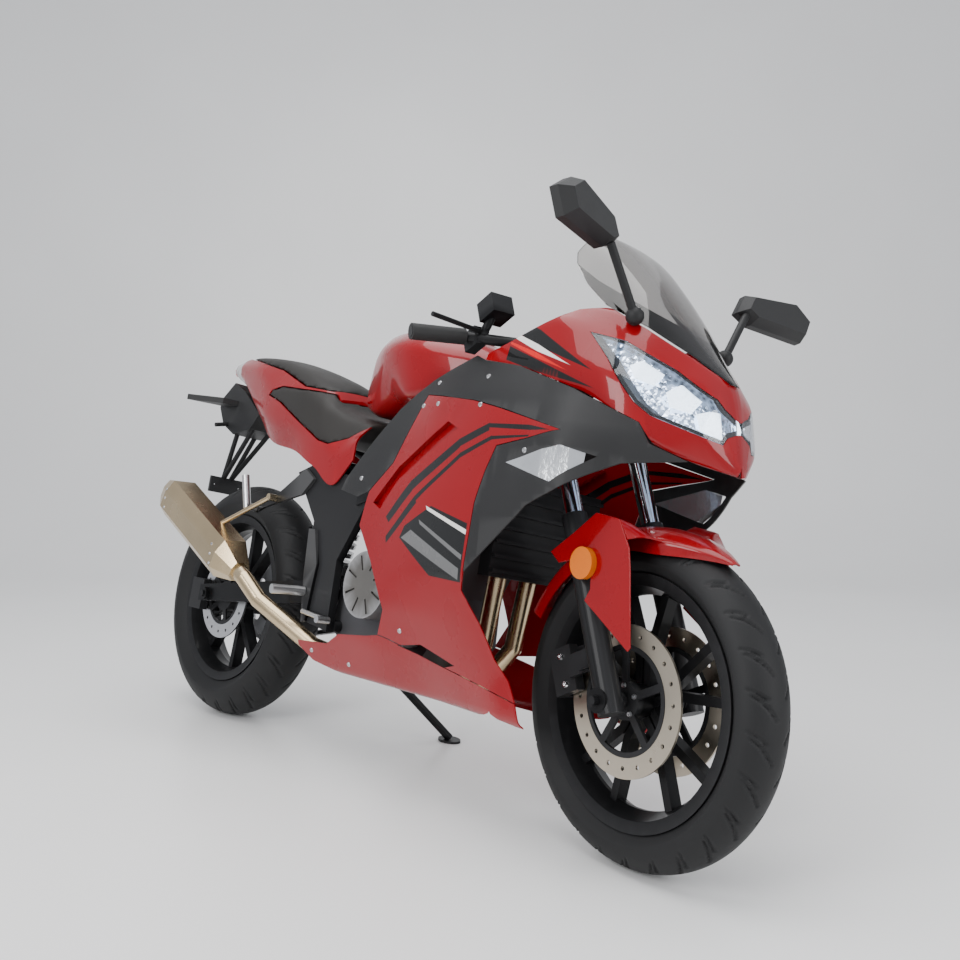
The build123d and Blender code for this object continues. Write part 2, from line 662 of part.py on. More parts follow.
# Exhaust: twin headers, under-engine pipe, mid pipe and muffler
pipe_radius = 19.0
muffler_front = (272, -196, 390)
muffler_rear = (-92, -226, 572)
muffler_way = (Vector(*muffler_rear) - Vector(*muffler_front)).normalized()
port = Vector(965, 0, 548)
port_way = Vector(0.899, 0, -0.4375)
with BuildPart() as header_pipes:
    for side in (-1, 1):
        inlet = port + Vector(0, side * 44, 0)
        route = [
            inlet + port_way * seat_gap, inlet + port_way * 46, (1016, side * 46, 470),
            (1004, side * 44, 330), (930, side * 36, 234), (700, side * 18, 230),
        ]
        for start, end in zip(route, route[1:]):
            add(rod(start, end, pipe_radius))
        for x, y, z in route[1:-1]:
            with Locations((x, y, z)):
                Sphere(pipe_radius)
    route = [
        (700, 0, 230), (612, -60, 230), (520, -116, 250), (350, -176, 332),
        tuple(Vector(*muffler_front) - muffler_way * 26), tuple(Vector(*muffler_front) - muffler_way * seat_gap),
    ]
    for start, end in zip(route, route[1:]):
        add(rod(start, end, 21))
    for point in route[1:-1]:
        with Locations(point):
            Sphere(21)
    with Locations(route[0]):
        Sphere(30)
with BuildPart() as muffler:
    way = Vector(*muffler_rear) - Vector(*muffler_front)
    for along, width, height in ((0, 52, 52), (62, 92, 104), (way.length - 40, 92, 104), (way.length, 60, 66)):
        with BuildSketch(Plane(Vector(*muffler_front), x_dir=(0, 1, 0.06), z_dir=way).offset(along)):
            with BuildLine():
                Polyline((-width / 2, -height / 6), (-width / 3, -height / 2), (width / 3, -height / 2),
                         (width / 2, -height / 6), (width / 2, height / 4), (width / 4, height / 2),
                         (-width / 4, height / 2), (-width / 2, height / 4), close=True)
            make_face()
    loft(ruled=True)
    with BuildSketch(Plane(Vector(*muffler_rear), z_dir=way)):
        Circle(20)
    extrude(amount=-60, mode=Mode.SUBTRACT)
    add(rod((150, -204, 500), (290, -158, 585), 6))
    add(rod((290, -164, 585), (290, -frame_plate_y - plate_thickness - 9 - 2 * seat_gap, 585), 9))

# Radiator with its guard
with BuildPart() as radiator:
    with BuildSketch(Plane.XY.offset(470)):
        with Locations((radiator_back + 15, 0)):
            Rectangle(30, 300)
    extrude(amount=200)
    for number in range(7):
        with Locations((1100, 0, 482 + 29 * number)):
            Box(8, 300, 7)

# Final drive chain: two rows of plates and the rollers on the free runs
rear_mesh = chain_pitch / 2 / sin(radians(180 / rear_teeth))
front_mesh = chain_pitch / 2 / sin(radians(180 / front_teeth))
with BuildPart() as drive_chain:
    for side in (-1, 1):
        with BuildSketch(Plane.XZ.offset(-chain_y - side * 6.5 - 1.5)):
            with BuildLine() as centre:
                run = hypot(output_x, output_z - rear_tyre_radius)
                tilt = atan2(output_z - rear_tyre_radius, output_x)
                open_angle = asin((rear_mesh - front_mesh) / run)
                up = Vector(cos(tilt + pi / 2 - open_angle), sin(tilt + pi / 2 - open_angle))
                down = Vector(cos(tilt - pi / 2 + open_angle), sin(tilt - pi / 2 + open_angle))
                ahead = Vector(cos(tilt), sin(tilt))
                rear_centre, front_centre = Vector(0, rear_tyre_radius), Vector(output_x, output_z)
                Line(rear_centre + up * rear_mesh, front_centre + up * front_mesh)
                ThreePointArc(front_centre + up * front_mesh, front_centre + ahead * front_mesh,
                              front_centre + down * front_mesh)
                Line(front_centre + down * front_mesh, rear_centre + down * rear_mesh)
                ThreePointArc(rear_centre + down * rear_mesh, rear_centre - ahead * rear_mesh,
                              rear_centre + up * rear_mesh)
            make_face()
            offset(amount=6)
            offset(amount=-12, mode=Mode.SUBTRACT)
        extrude(amount=3)
    free_run = sqrt(run**2 - (rear_mesh - front_mesh) ** 2)
    for tangent, turn in ((up, tilt - open_angle), (down, tilt + open_angle)):
        along = Vector(cos(turn), sin(turn))
        first = front_centre + tangent * front_mesh
        for number in range(int(free_run / chain_pitch) - 3):
            middle = first - along * chain_pitch * number
            with Locations(Location((middle.X, chain_y, middle.Y), (0, -degrees(turn), 0))):
                Box(chain_pitch * 0.6, 12, 8)
    with BuildSketch(Plane.XZ.offset(-chain_y - sprocket_thickness / 2)):
        with Locations(front_centre):
            Circle(front_mesh + 3)
            with PolarLocations(front_mesh + 3, front_teeth):
                Circle(5.0, mode=Mode.SUBTRACT)
    extrude(amount=sprocket_thickness)
    for number in range(front_teeth // 2 + 1):
        turn = tilt + pi / 2 - pi * number / (front_teeth // 2)
        place = (output_x + front_mesh * cos(turn), chain_y, output_z + front_mesh * sin(turn))
        with Locations(Location(place, (0, 90 - degrees(turn), 0))):
            Box(chain_pitch * 0.6, 12, 8)

# Rear shock between its two pins, then the rear caliper and the footrests
shock_way = Vector(shock_top[0] - shock_foot[0], 0, shock_top[1] - shock_foot[1])
shock_axis = Plane((shock_foot[0], 0, shock_foot[1]), x_dir=(0, 1, 0), z_dir=shock_way)
with BuildPart() as rear_shock:
    for x, z in (shock_foot, shock_top):
        add(rod((x, -13.7, z), (x, 13.7, z), shock_eye_radius))
    for start, height, radius in (
        (8, shock_way.length - 16, 9), (34, 10, 33), (shock_way.length - 96, 70, 25),
        (shock_way.length - 44, 10, 33),
    ):
        with BuildSketch(shock_axis.offset(start)):
            Circle(radius)
        extrude(amount=height)
    turn_pitch = (shock_way.length - 88) / spring_turns
    for turn in range(spring_turns):
        with BuildSketch(shock_axis.offset(44 + turn_pitch * (turn + 0.25))):
            Circle(spring_radius)
        extrude(amount=turn_pitch / 2)
    for x, z in (shock_foot, shock_top):
        add(rod((x, -14, z), (x, 14, z), shock_pin_radius + seat_gap), mode=Mode.SUBTRACT)

caliper_x, caliper_z = -102.0, rear_tyre_radius - 6
with BuildPart() as rear_caliper:
    with Locations((caliper_x, rear_disc_offset, caliper_z)):
        Box(62, 62, 84)
        Box(50, disc_thickness + 2 * caliper_gap, 90, mode=Mode.SUBTRACT)
    with Locations((caliper_x + 20, rear_disc_offset, caliper_z)):
        Box(24, disc_thickness + 2 * caliper_gap, 90, mode=Mode.SUBTRACT)
    bracket_outer, bracket_inner = arm_inner_y - seat_gap, arm_inner_y - 11
    with Locations((-60, -(bracket_outer + bracket_inner) / 2, rear_tyre_radius)):
        Box(40, bracket_outer - bracket_inner, 26)

plate_outer_y = frame_plate_y + plate_thickness
with BuildPart() as rider_footrests:
    for side in (-1, 1):
        near = side * (plate_outer_y + seat_gap)
        far = near + side * 8
        with BuildSketch(Plane.XZ.offset(-near)):
            with BuildLine():
                Polyline((486, 300), (500, 306), (510, 440), (480, 520), (455, 520), (466, 400), close=True)
            make_face()
        extrude(amount=-side * 8)
        add(rod((478, far, 372), (466, side * 222, 368), 11))
        add(rod((486, far - side, 326), (600, far + side * 8, 318), 6))
        add(rod((600, far + side * 4, 318), (600, far + side * 38, 318), 8))

with BuildPart() as passenger_footrests:
    for side in (-1, 1):
        near = side * (plate_outer_y + seat_gap)
        with BuildSketch(Plane.XZ.offset(-near)):
            with BuildLine():
                Polyline((440, 640), (400, 600), (240, 560), (206, 545), (196, 562), (300, 600), (400, 664),
                         close=True)
            make_face()
        extrude(amount=-side * 9)
        add(rod((205, near, 556), (204, side * 172, 556), 9))
        add(rod((204, side * 166, 552), (176, side * 170, 634), 10))

# Tail bracket with the plate arms, the rear indicators and the reflectors
plate_x, plate_z = -214.0, 622.0
plate_block_thickness = 9.0
plate_hole_spacing = 80.0
plate_hole_radius = 3.3
with BuildPart() as plate_bracket:
    with BuildSketch(Plane.XZ.offset(-46)):
        with BuildLine():
            Polyline((-186, 924), (-120, 894), (-24, 828), (-60, 786), (-150, 770), (-215, 800), (-250, 850),
                     (-250, 874), close=True)
        make_face()
    extrude(amount=92)
    with Locations((-70, 0, plate_seat - 15)):
        Box(30, 60, 30)
    for start in ((-150, 780), (-60, 800)):
        for side in (-1, 1):
            add(rod((start[0], side * 30, start[1]), (-218, side * 12, 640), 7))
    with Locations((plate_x, 0, plate_z)):
        Box(plate_block_thickness, 110, 46)
    with BuildSketch(Plane.YZ.offset(plate_x - plate_block_thickness / 2)):
        with Locations((-plate_hole_spacing / 2, plate_z), (plate_hole_spacing / 2, plate_z)):
            Circle(plate_hole_radius)
    extrude(amount=plate_block_thickness, mode=Mode.SUBTRACT)
    for side in (-1, 1):
        add(rod((-190, side * 46, 800), (-190, side * 84, 790), 6))

with BuildPart() as rear_indicators:
    for side in (-1, 1):
        with BuildSketch(Plane.XY.offset(852)):
            with BuildLine():
                Polyline((-150, side * 46.3), (-160, side * 90), (-262, side * 150), (-225, side * 70),
                         (-215, side * 46.3), close=True)
            make_face()
        extrude(amount=16)

# Dash under the screen and the mirrors
dash_seat = cowl_stay[1] + stay_radius + seat_gap
with BuildPart() as dash:
    extrude(side_outline([
        (1226, 936), (1203, 990), (1219, 992), (1380, 930), (1450, 880), (1436, 868), (1370, 900),
        (1280, dash_seat), (1236, dash_seat),
    ]), amount=76, both=True)
    with BuildSketch(Plane.XY.offset(840)):
        with BuildLine():
            Polyline((1180, 76), (1340, 76), (1400, 60), (1458, 12), (1458, -12), (1400, -60), (1340, -76),
                     (1180, -76), close=True)
        make_face()
    extrude(amount=200, mode=Mode.INTERSECT)

with BuildPart() as mirror_right:
    base, stalk_top = (1360, -146, 966), (1345, -222, 1078)
    add(rod(base, stalk_top, 8))
    with Locations(base):
        Sphere(17)
    with BuildSketch(Plane((1352, -300, 1100), x_dir=(0, 1, 0), z_dir=(1, 0.25, 0.2))) as shell:
        with BuildLine():
            Polyline((-108, 4), (-86, -42), (60, -34), (96, -14), (70, 30), (-60, 42), close=True)
        make_face()
    extrude(amount=24, taper=25)
    extrude(shell.sketch, amount=-16)
    add(skin(nose_rows, inset=-seat_gap), mode=Mode.SUBTRACT)


# Fork, drawn in the steering frame
def bar_lines(side):
    """Centre lines of one handlebar: its riser from the fork clamp, and the bar under the grip."""
    clamp = Vector(fork_offset - 6, side * (fork_spread + stanchion_radius + 6), upper_yoke_at + 42)
    bend = Vector(bar_bend_x, side * (grip_end_y - grip_length), bar_at)
    end = Vector(bar_end_x, side * (grip_end_y - 4), bar_at)
    return (clamp, bend), (bend, end)


with BuildPart() as fork_yokes:
    for at, tall in ((lower_yoke_at, yoke_thickness), (upper_yoke_at, yoke_thickness)):
        with BuildSketch(Plane.XY.offset(at)):
            with BuildLine():
                Polyline((-24, -26), (fork_offset - 24, -fork_spread - 24), (fork_offset + 26, -fork_spread - 24),
                         (fork_offset + 22, 0), (fork_offset + 26, fork_spread + 24),
                         (fork_offset - 24, fork_spread + 24), (-24, 26), close=True)
            make_face()
            with Locations((fork_offset, -fork_spread), (fork_offset, fork_spread)):
                Circle(stanchion_radius + seat_gap, mode=Mode.SUBTRACT)
        extrude(amount=tall)
    with BuildSketch(Plane.XY.offset(lower_yoke_at)):
        Circle(stem_radius)
    extrude(amount=upper_yoke_at - lower_yoke_at + 10)
    for side in (-1, 1):
        with BuildSketch(Plane.XY.offset(upper_yoke_at + yoke_thickness)):
            with Locations((fork_offset, side * fork_spread)):
                Circle(stanchion_radius + 9)
                Circle(stanchion_radius + seat_gap, mode=Mode.SUBTRACT)
        extrude(amount=32)
        for start, end in bar_lines(side):
            add(rod(start, end, bar_radius))

with BuildPart() as grips:
    for side in (-1, 1):
        start, end = bar_lines(side)[1]
        bar_way = (end - start).normalized()
        with BuildSketch(Plane(start + bar_way * 6, z_dir=bar_way)):
            Circle(grip_radius)
            Circle(bar_radius + seat_gap, mode=Mode.SUBTRACT)
        extrude(amount=grip_length - 8)

with BuildPart() as hand_controls:
    for side in (-1, 1):
        bend_y = grip_end_y - grip_length
        with Locations((bar_bend_x, side * (bend_y - 18), bar_at - 3)):
            Box(42, 24, 40)
        lever_root = (bar_bend_x + 26, side * (bend_y - 26), bar_at)
        add(rod(lever_root, (bar_bend_x + 44, side * (grip_end_y - 10), bar_at), 5))
        add(rod((bar_bend_x + 10, side * (bend_y - 22), bar_at), (bar_bend_x + 34, side * (bend_y - 22), bar_at), 9))
        for start, end in bar_lines(side):
            add(rod(start, end, bar_radius + seat_gap), mode=Mode.SUBTRACT)
    reservoir = (bar_bend_x + 52, -(bend_y - 42), bar_at + 44)
    with Locations(reservoir):
        Box(50, 52, 42)
    add(rod((bar_bend_x + 28, -(bend_y - 26), bar_at + 6), reservoir, 9))

with BuildPart() as fork_tubes:
    for side in (-1, 1):
        with BuildSketch(Plane.XY.offset(slider_top_at - 40)):
            with Locations((fork_offset, side * fork_spread)):
                Circle(stanchion_radius)
        extrude(amount=fork_top_at - slider_top_at + 40)

with BuildPart() as fork_sliders:
    for side in (-1, 1):
        with BuildSketch(Plane.XY.offset(-26)):
            with Locations((fork_offset, side * fork_spread)):
                Circle(slider_radius)
        extrude(amount=slider_top_at + 26)
        add(rod((axle_lead, side * (fork_spread - slider_radius), 0),
                (axle_lead, side * (fork_spread + slider_radius), 0), 22))
        with BuildSketch(Plane.XY.offset(slider_top_at - 42)):
            with Locations((fork_offset, side * fork_spread)):
                Circle(stanchion_radius + seat_gap)
        extrude(amount=42, mode=Mode.SUBTRACT)
        add(rod((axle_lead, side * (fork_spread - slider_radius - 1), 0),
                (axle_lead, side * (front_disc_offset + 7), 0), 13))
        with Locations((-2, side * (92.5 + seat_gap + 4.5), caliper_at)):
            Box(40, 9, 34)
    add(rod((axle_lead, -fork_spread - slider_radius - 12, 0),
            (axle_lead, fork_spread + slider_radius + 12, 0), axle_radius))

fender_clearance = 20.0
fender_half = 72.0
fender_wall = 3.0
fender_start, fender_arc = 34.0, 96.0
slider_x = fork_offset - axle_lead
blade_inner_y = fork_spread + slider_radius + seat_gap
blade_outline = [
    (-46, 290), (30, 302), (90, 314), (142, 280), (150, 225), (142, 188), (106, 62), (98, 58), (18, 174),
    (38, 188), (46, 212), (26, 250), (-30, 262),
]
with BuildPart() as front_fender:
    with BuildSketch(Plane.XY.rotated((0, -fender_start, 0))):
        with BuildLine():
            crown = front_tyre_radius + fender_clearance
            Polyline((crown - 52, -fender_half), (crown - 22, -fender_half), (crown - 5, -38), (crown, 0),
                     (crown - 5, 38), (crown - 22, fender_half), (crown - 52, fender_half), close=True)
        make_face()
        offset(amount=-fender_wall, kind=Kind.INTERSECTION, mode=Mode.SUBTRACT)
        with Locations((crown - 52, 0)):
            Rectangle(3 * fender_wall, 2 * (fender_half - fender_wall), mode=Mode.SUBTRACT)
    revolve(axis=Axis.Y, revolution_arc=-fender_arc)
    extrude(side_outline([
        (-260, 190), (-60, 262), (20, 262), (150, 228), (262, 176), (280, 190), (200, 330), (-200, 330),
    ]), amount=90, both=True, mode=Mode.INTERSECT)
    for side in (-1, 1):
        outer = side * (blade_inner_y + (fender_wall if side > 0 else 0))
        extrude(side_outline(blade_outline).moved(Location((0, outer, 0))), amount=fender_wall)
        for x, z in ((96, 296), (60, 300)):
            add(rod((x, side * 60, z - 6), (x, side * (blade_inner_y + 1), z - 16), 5))

with BuildPart() as front_calipers:
    caliper_x = axle_lead - caliper_behind
    for side in (-1, 1):
        with Locations((caliper_x, side * front_disc_offset, caliper_at)):
            Box(56, 58, 86)
            Box(70, disc_thickness + 2 * caliper_gap, 110, mode=Mode.SUBTRACT)
        with Locations((caliper_x - 26, side * front_disc_offset, caliper_at)):
            Box(8, 58, 86)
        with Locations((caliper_x + 56, side * 88, caliper_at)):
            Box(70, 9, 40)

with BuildPart() as fork_reflectors:
    for side in (-1, 1):
        start = side * (blade_inner_y + fender_wall + seat_gap)
        add(rod((axle_lead + 40, start, 236), (axle_lead + 40, start + side * 12, 236), 29))

# Side stand, drawn deployed on the upright bike; its foot reaches the ground once the bike leans
pivot = Vector(*stand_pivot)
reach = Vector(*stand_direction).normalized()
stand_axis = reach.cross(Vector(-0.97, 0.2, -0.1)).normalized()


# Pose: lean about the rear contact line and pitch until both tyres touch the ground
def tyre_low(place, axle_place, radius, crown):
    """Lowest height of a tyre, taken as a ring of crown radius about its axle."""
    at = (place * axle_place).position
    axis = (place * axle_place * Pos(0, 1, 0)).position - at
    return at.Z - (radius - crown) * sqrt(1 - axis.Z**2) - crown


steering_location = steering_frame.location
front_crown, rear_crown = 55.0, 70.0
chassis_at = Rot(-lean, 0, 0)
pitch = 0.0
for _ in range(3):
    chassis_at = Rot(0, pitch, 0) * Rot(-lean, 0, 0)
    steering_at = chassis_at * steering_location * Rot(0, 0, steer_rest)
    front_low = tyre_low(steering_at, Pos(axle_lead, 0, 0), front_tyre_radius, front_crown)
    rear_low = tyre_low(chassis_at, Pos(0, 0, rear_tyre_radius), rear_tyre_radius, rear_crown)
    pitch += degrees((front_low - rear_low) / wheelbase)
ground = Pos(0, 0, -rear_low)
chassis_at = ground * chassis_at
steering_at = ground * steering_at

stand_base = (chassis_at * Pos(*stand_pivot)).position
stand_way = (chassis_at * Pos(*(pivot + reach))).position - stand_base
stand_foot_drop = 5.0
stand_length = (stand_base.Z - stand_foot_drop) / -stand_way.Z
foot = pivot + reach * stand_length
down = (Rot(lean, 0, 0) * Pos(0, 0, -1)).position
stand_eye_half, stand_eye_radius, stand_pin_radius = 14.0, 15.0, 5.0
stand_lug_thickness = 7.0
with BuildPart() as side_stand:
    add(rod(tuple(pivot), tuple(foot - down * 3), stand_radius))
    add(rod(pivot - stand_axis * stand_eye_half, pivot + stand_axis * stand_eye_half, stand_eye_radius))
    with BuildSketch(Plane(foot + down * stand_foot_drop, x_dir=(1, 0, 0), z_dir=down)):
        Ellipse(34, 22)
    extrude(amount=-6)
    add(rod(pivot - stand_axis * 20, pivot + stand_axis * 20, stand_pin_radius + running_gap),
        mode=Mode.SUBTRACT)
with BuildPart() as stand_lug:
    lug_middle = stand_eye_half + seat_gap + stand_lug_thickness / 2
    for side in (-1, 1):
        middle = pivot + stand_axis * side * lug_middle
        thick = stand_axis * side * stand_lug_thickness / 2
        add(rod(middle - thick, middle + thick, 14))
        add(rod(middle, pivot, stand_pin_radius))
    upper, lower = pivot + stand_axis * lug_middle, pivot - stand_axis * lug_middle
    knee = pivot + Vector(-3, -42, 12)
    add(rod(upper + stand_axis * 5, (546, 118, 300), 6))
    add(rod(lower - stand_axis * 5, knee, 6))
    with Locations(knee):
        Sphere(6)
    add(rod(knee, (543, 114, 298), 6))

pieces = {
    "main_frame": (main_frame.part + stand_lug.part, chassis_at),
    "engine": (engine.part, chassis_at),
    "engine_covers": (engine_covers.part, chassis_at),
    "radiator": (radiator.part, chassis_at),
    "header_pipes": (header_pipes.part, chassis_at),
    "muffler": (muffler.part, chassis_at),
    "fuel_tank": (fuel_tank.part, chassis_at),
    "rider_seat": (rider_seat.part, chassis_at),
    "passenger_seat": (passenger_seat.part, chassis_at),
    "tail_cowl": (tail_cowl.part, chassis_at),
    "tail_lamp": (tail_lamp.part, chassis_at),
    "plate_bracket": (plate_bracket.part, chassis_at),
    "rear_indicators": (rear_indicators.part, chassis_at),
    "nose_cowl": (nose_cowl.part, chassis_at),
    "windscreen": (windscreen.part, chassis_at),
    "dash": (dash.part, chassis_at),
    "swingarm": (swingarm.part, chassis_at),
    "rear_shock": (rear_shock.part, chassis_at),
    "drive_chain": (drive_chain.part, chassis_at),
    "rear_caliper": (rear_caliper.part, chassis_at),
    "rider_footrests": (rider_footrests.part, chassis_at),
    "passenger_footrests": (passenger_footrests.part, chassis_at),
    "fork_yokes": (fork_yokes.part, steering_at),
    "grips": (grips.part, steering_at),
    "hand_controls": (hand_controls.part, steering_at),
    "fork_tubes": (fork_tubes.part, steering_at),
    "fork_sliders": (fork_sliders.part, steering_at),
    "front_fender": (front_fender.part, steering_at * Pos(axle_lead, 0, 0)),
    "front_calipers": (front_calipers.part, steering_at),
    "fork_reflectors": (fork_reflectors.part, steering_at),
    "front_rim": (front_rim.part, steering_at * Pos(axle_lead, 0, 0)),
    "front_tyre": (front_tyre.part, steering_at * Pos(axle_lead, 0, 0)),
    "front_discs": (front_discs.part, steering_at * Pos(axle_lead, 0, 0)),
    "rear_rim": (rear_wheel_rim.part, chassis_at * Pos(*rear_axle)),
    "rear_tyre": (rear_tyre.part, chassis_at * Pos(*rear_axle)),
    "rear_disc": (rear_disc.part, chassis_at * Pos(*rear_axle)),
    "rear_sprocket": (rear_sprocket.part, chassis_at * Pos(*rear_axle)),
    "side_stand": (side_stand.part, chassis_at),
}
for name, right_piece in panels.items():
    pieces[name + "_right"] = (right_piece, chassis_at)
    pieces[name + "_left"] = (mirror(right_piece, about=Plane.XZ), chassis_at)
for name, right_piece in (
    ("front_indicators", front_indicator.part), ("headlamps", headlamp_right.part),
    ("mirrors", mirror_right.part),
):
    both = Compound(children=[*right_piece.solids(), *mirror(right_piece, about=Plane.XZ).solids()])
    pieces[name] = (both, chassis_at)

placed = {name: place * piece for name, (piece, place) in pieces.items()}
boxes = [piece.bounding_box() for piece in placed.values()]
low = [min(getattr(box.min, axis) for box in boxes) for axis in "XYZ"]
high = [max(getattr(box.max, axis) for box in boxes) for axis in "XYZ"]
centred = Pos(-(low[0] + high[0]) / 2, -(low[1] + high[1]) / 2, -low[2])
for name, piece in placed.items():
    piece = centred * piece
    piece.label = name
    export_step(piece, f"parts/{name}.step")
print("size", [round(b - a, 1) for a, b in zip(low, high)], "pitch", round(pitch, 3))
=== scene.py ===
# %% [markdown]
# A sport motorcycle on its side stand, dressed in Blender.
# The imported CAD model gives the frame: every piece's place, the joints' axes and the moving bodies.
# What a step away shows, such as panels, tyres and seats, is modelled again here with finer surfaces,
# and the rest of the CAD keeps its own meshes and gets a finish.

# %% Load the frame
import json
from math import atan2, cos, pi, radians, sin

import bmesh
import bpy
from mathutils import Matrix, Vector
from mathutils.bvhtree import BVHTree


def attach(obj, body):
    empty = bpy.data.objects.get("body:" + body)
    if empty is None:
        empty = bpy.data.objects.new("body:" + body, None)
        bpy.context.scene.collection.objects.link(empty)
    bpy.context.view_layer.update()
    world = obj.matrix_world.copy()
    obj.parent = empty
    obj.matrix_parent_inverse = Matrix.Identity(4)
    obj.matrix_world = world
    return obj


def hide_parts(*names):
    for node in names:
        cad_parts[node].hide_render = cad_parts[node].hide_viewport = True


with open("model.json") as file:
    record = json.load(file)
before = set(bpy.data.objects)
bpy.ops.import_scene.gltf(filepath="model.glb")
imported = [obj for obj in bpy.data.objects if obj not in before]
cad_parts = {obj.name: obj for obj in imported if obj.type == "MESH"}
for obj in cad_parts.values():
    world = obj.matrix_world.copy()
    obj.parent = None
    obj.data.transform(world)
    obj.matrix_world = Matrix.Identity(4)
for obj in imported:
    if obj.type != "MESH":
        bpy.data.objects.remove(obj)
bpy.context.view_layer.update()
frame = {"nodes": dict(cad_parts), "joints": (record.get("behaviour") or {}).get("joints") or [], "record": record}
nodes = frame["nodes"]
joints = {joint["name"]: joint for joint in frame["joints"]}
MM = 0.001

# %% [markdown]
# All sizes below are millimetres on the upright bike, as a maker measures them: x ahead of the rear
# axle, y to the left, z above the ground. The bike leans, so such a point needs a frame of its own.
# Its angles could be typed in, but the joints already hold them: the rear wheel's axis gives the lean,
# and its place gives the origin. The steering joint gives the fork's frame in the same way, up along
# the steering axis, with its origin level with the front axle.

# %% Frames of the leaning bike and of the turned fork
FRONT_TYRE_RADIUS, REAR_TYRE_RADIUS = 293.0, 314.0
WHEELBASE = 1400.0
FORK_AXLE_LEAD = 34.21
left = Vector(joints["rear_wheel_spin"]["axis"]).normalized()
rear_axle = Vector(joints["rear_wheel_spin"]["pos_m"])
front_axle = Vector(joints["front_wheel_spin"]["pos_m"])
ahead = front_axle - rear_axle
ahead = (ahead - left * ahead.dot(left)).normalized()
PITCH_TO_AXLES = atan2(FRONT_TYRE_RADIUS - REAR_TYRE_RADIUS, WHEELBASE)
up = ahead.cross(left)
ahead, up = (
    ahead * cos(PITCH_TO_AXLES) - up * sin(PITCH_TO_AXLES),
    up * cos(PITCH_TO_AXLES) + ahead * sin(PITCH_TO_AXLES),
)


def frame_matrix(x_way, y_way, z_way, origin):
    """Matrix from millimetres in a drawing's own frame to metres in the model's frame."""
    turn = Matrix((x_way, y_way, z_way)).transposed().to_4x4()
    return Matrix.Translation(origin) @ turn @ Matrix.Scale(MM, 4)


bike = frame_matrix(ahead, left, up, rear_axle - up * REAR_TYRE_RADIUS * MM)
fork_up = Vector(joints["steering"]["axis"]).normalized()
fork_left = Vector(joints["front_wheel_spin"]["axis"]).normalized()
fork_ahead = fork_left.cross(fork_up)
fork = frame_matrix(fork_ahead, fork_left, fork_up, front_axle - fork_ahead * FORK_AXLE_LEAD * MM)
print("bike origin", tuple(round(v, 4) for v in bike.translation))
print("fork origin", tuple(round(v, 4) for v in fork.translation))

# %% [markdown]
# The camera stands where the photographer stood: ahead of the machine on its right side, at about the
# height of the rider's seat. Rather than aiming it by eye, its place, angles and lens were solved from
# the wheels, discs and ground contacts, whose real sizes are known.

# %% Camera
CAMERA_PLACE = Vector((1.8405, -1.6499, 0.7575))
CAMERA_YAW, CAMERA_PITCH, CAMERA_ROLL = radians(46.73), radians(-2.3), radians(0.43)
LENS_MM, SENSOR_MM = 38.82, 36.0
level_look = Vector((-sin(CAMERA_YAW), cos(CAMERA_YAW), 0))
look = level_look * cos(CAMERA_PITCH) + Vector((0, 0, sin(CAMERA_PITCH)))
level_right = Vector((cos(CAMERA_YAW), sin(CAMERA_YAW), 0))
level_up = level_right.cross(look)
right_way = level_right * cos(CAMERA_ROLL) + level_up * sin(CAMERA_ROLL)
up_way = level_up * cos(CAMERA_ROLL) - level_right * sin(CAMERA_ROLL)
camera_data = bpy.data.cameras.new("camera")
camera_data.lens = LENS_MM
camera_data.sensor_width = SENSOR_MM
camera = bpy.data.objects.new("camera", camera_data)
bpy.context.scene.collection.objects.link(camera)
camera.matrix_world = (
    Matrix.Translation(CAMERA_PLACE) @ Matrix((right_way, up_way, -look)).transposed().to_4x4()
)
bpy.context.scene.camera = camera
print("camera", tuple(round(v, 3) for v in camera.location))

# %% [markdown]
# Gloss paint shows what stands around it, so the studio matters as much as the paint. A floor and a
# wall would meet in a line across every panel. One sheet that curves up from floor to wall has no
# such line, and gives the paint a calm, pale surrounding.

# %% Floor and wall
FLOOR_HALF, WALL_AWAY, WALL_HEIGHT, COVE_RADIUS, COVE_STEPS = 9.0, 4.2, 7.0, 1.2, 12
FLOOR_DARK, FLOOR_LIGHT = (0.80, 0.795, 0.785, 1), (0.87, 0.865, 0.855, 1)
FLOOR_PATCH_SCALE, FLOOR_ROUGHNESS = 1.3, 0.32


def stage_material():
    """Pale, slightly uneven floor paint."""
    material = bpy.data.materials.new("studio_floor")
    material.use_nodes = True
    tree = material.node_tree
    shader = tree.nodes["Principled BSDF"]
    noise = tree.nodes.new("ShaderNodeTexNoise")
    noise.inputs["Scale"].default_value = FLOOR_PATCH_SCALE
    ramp = tree.nodes.new("ShaderNodeValToRGB")
    ramp.color_ramp.elements[0].color = FLOOR_DARK
    ramp.color_ramp.elements[1].color = FLOOR_LIGHT
    place = tree.nodes.new("ShaderNodeTexCoord")
    tree.links.new(place.outputs["Object"], noise.inputs["Vector"])
    tree.links.new(noise.outputs["Fac"], ramp.inputs["Fac"])
    tree.links.new(ramp.outputs["Color"], shader.inputs["Base Color"])
    shader.inputs["Roughness"].default_value = FLOOR_ROUGHNESS
    return material


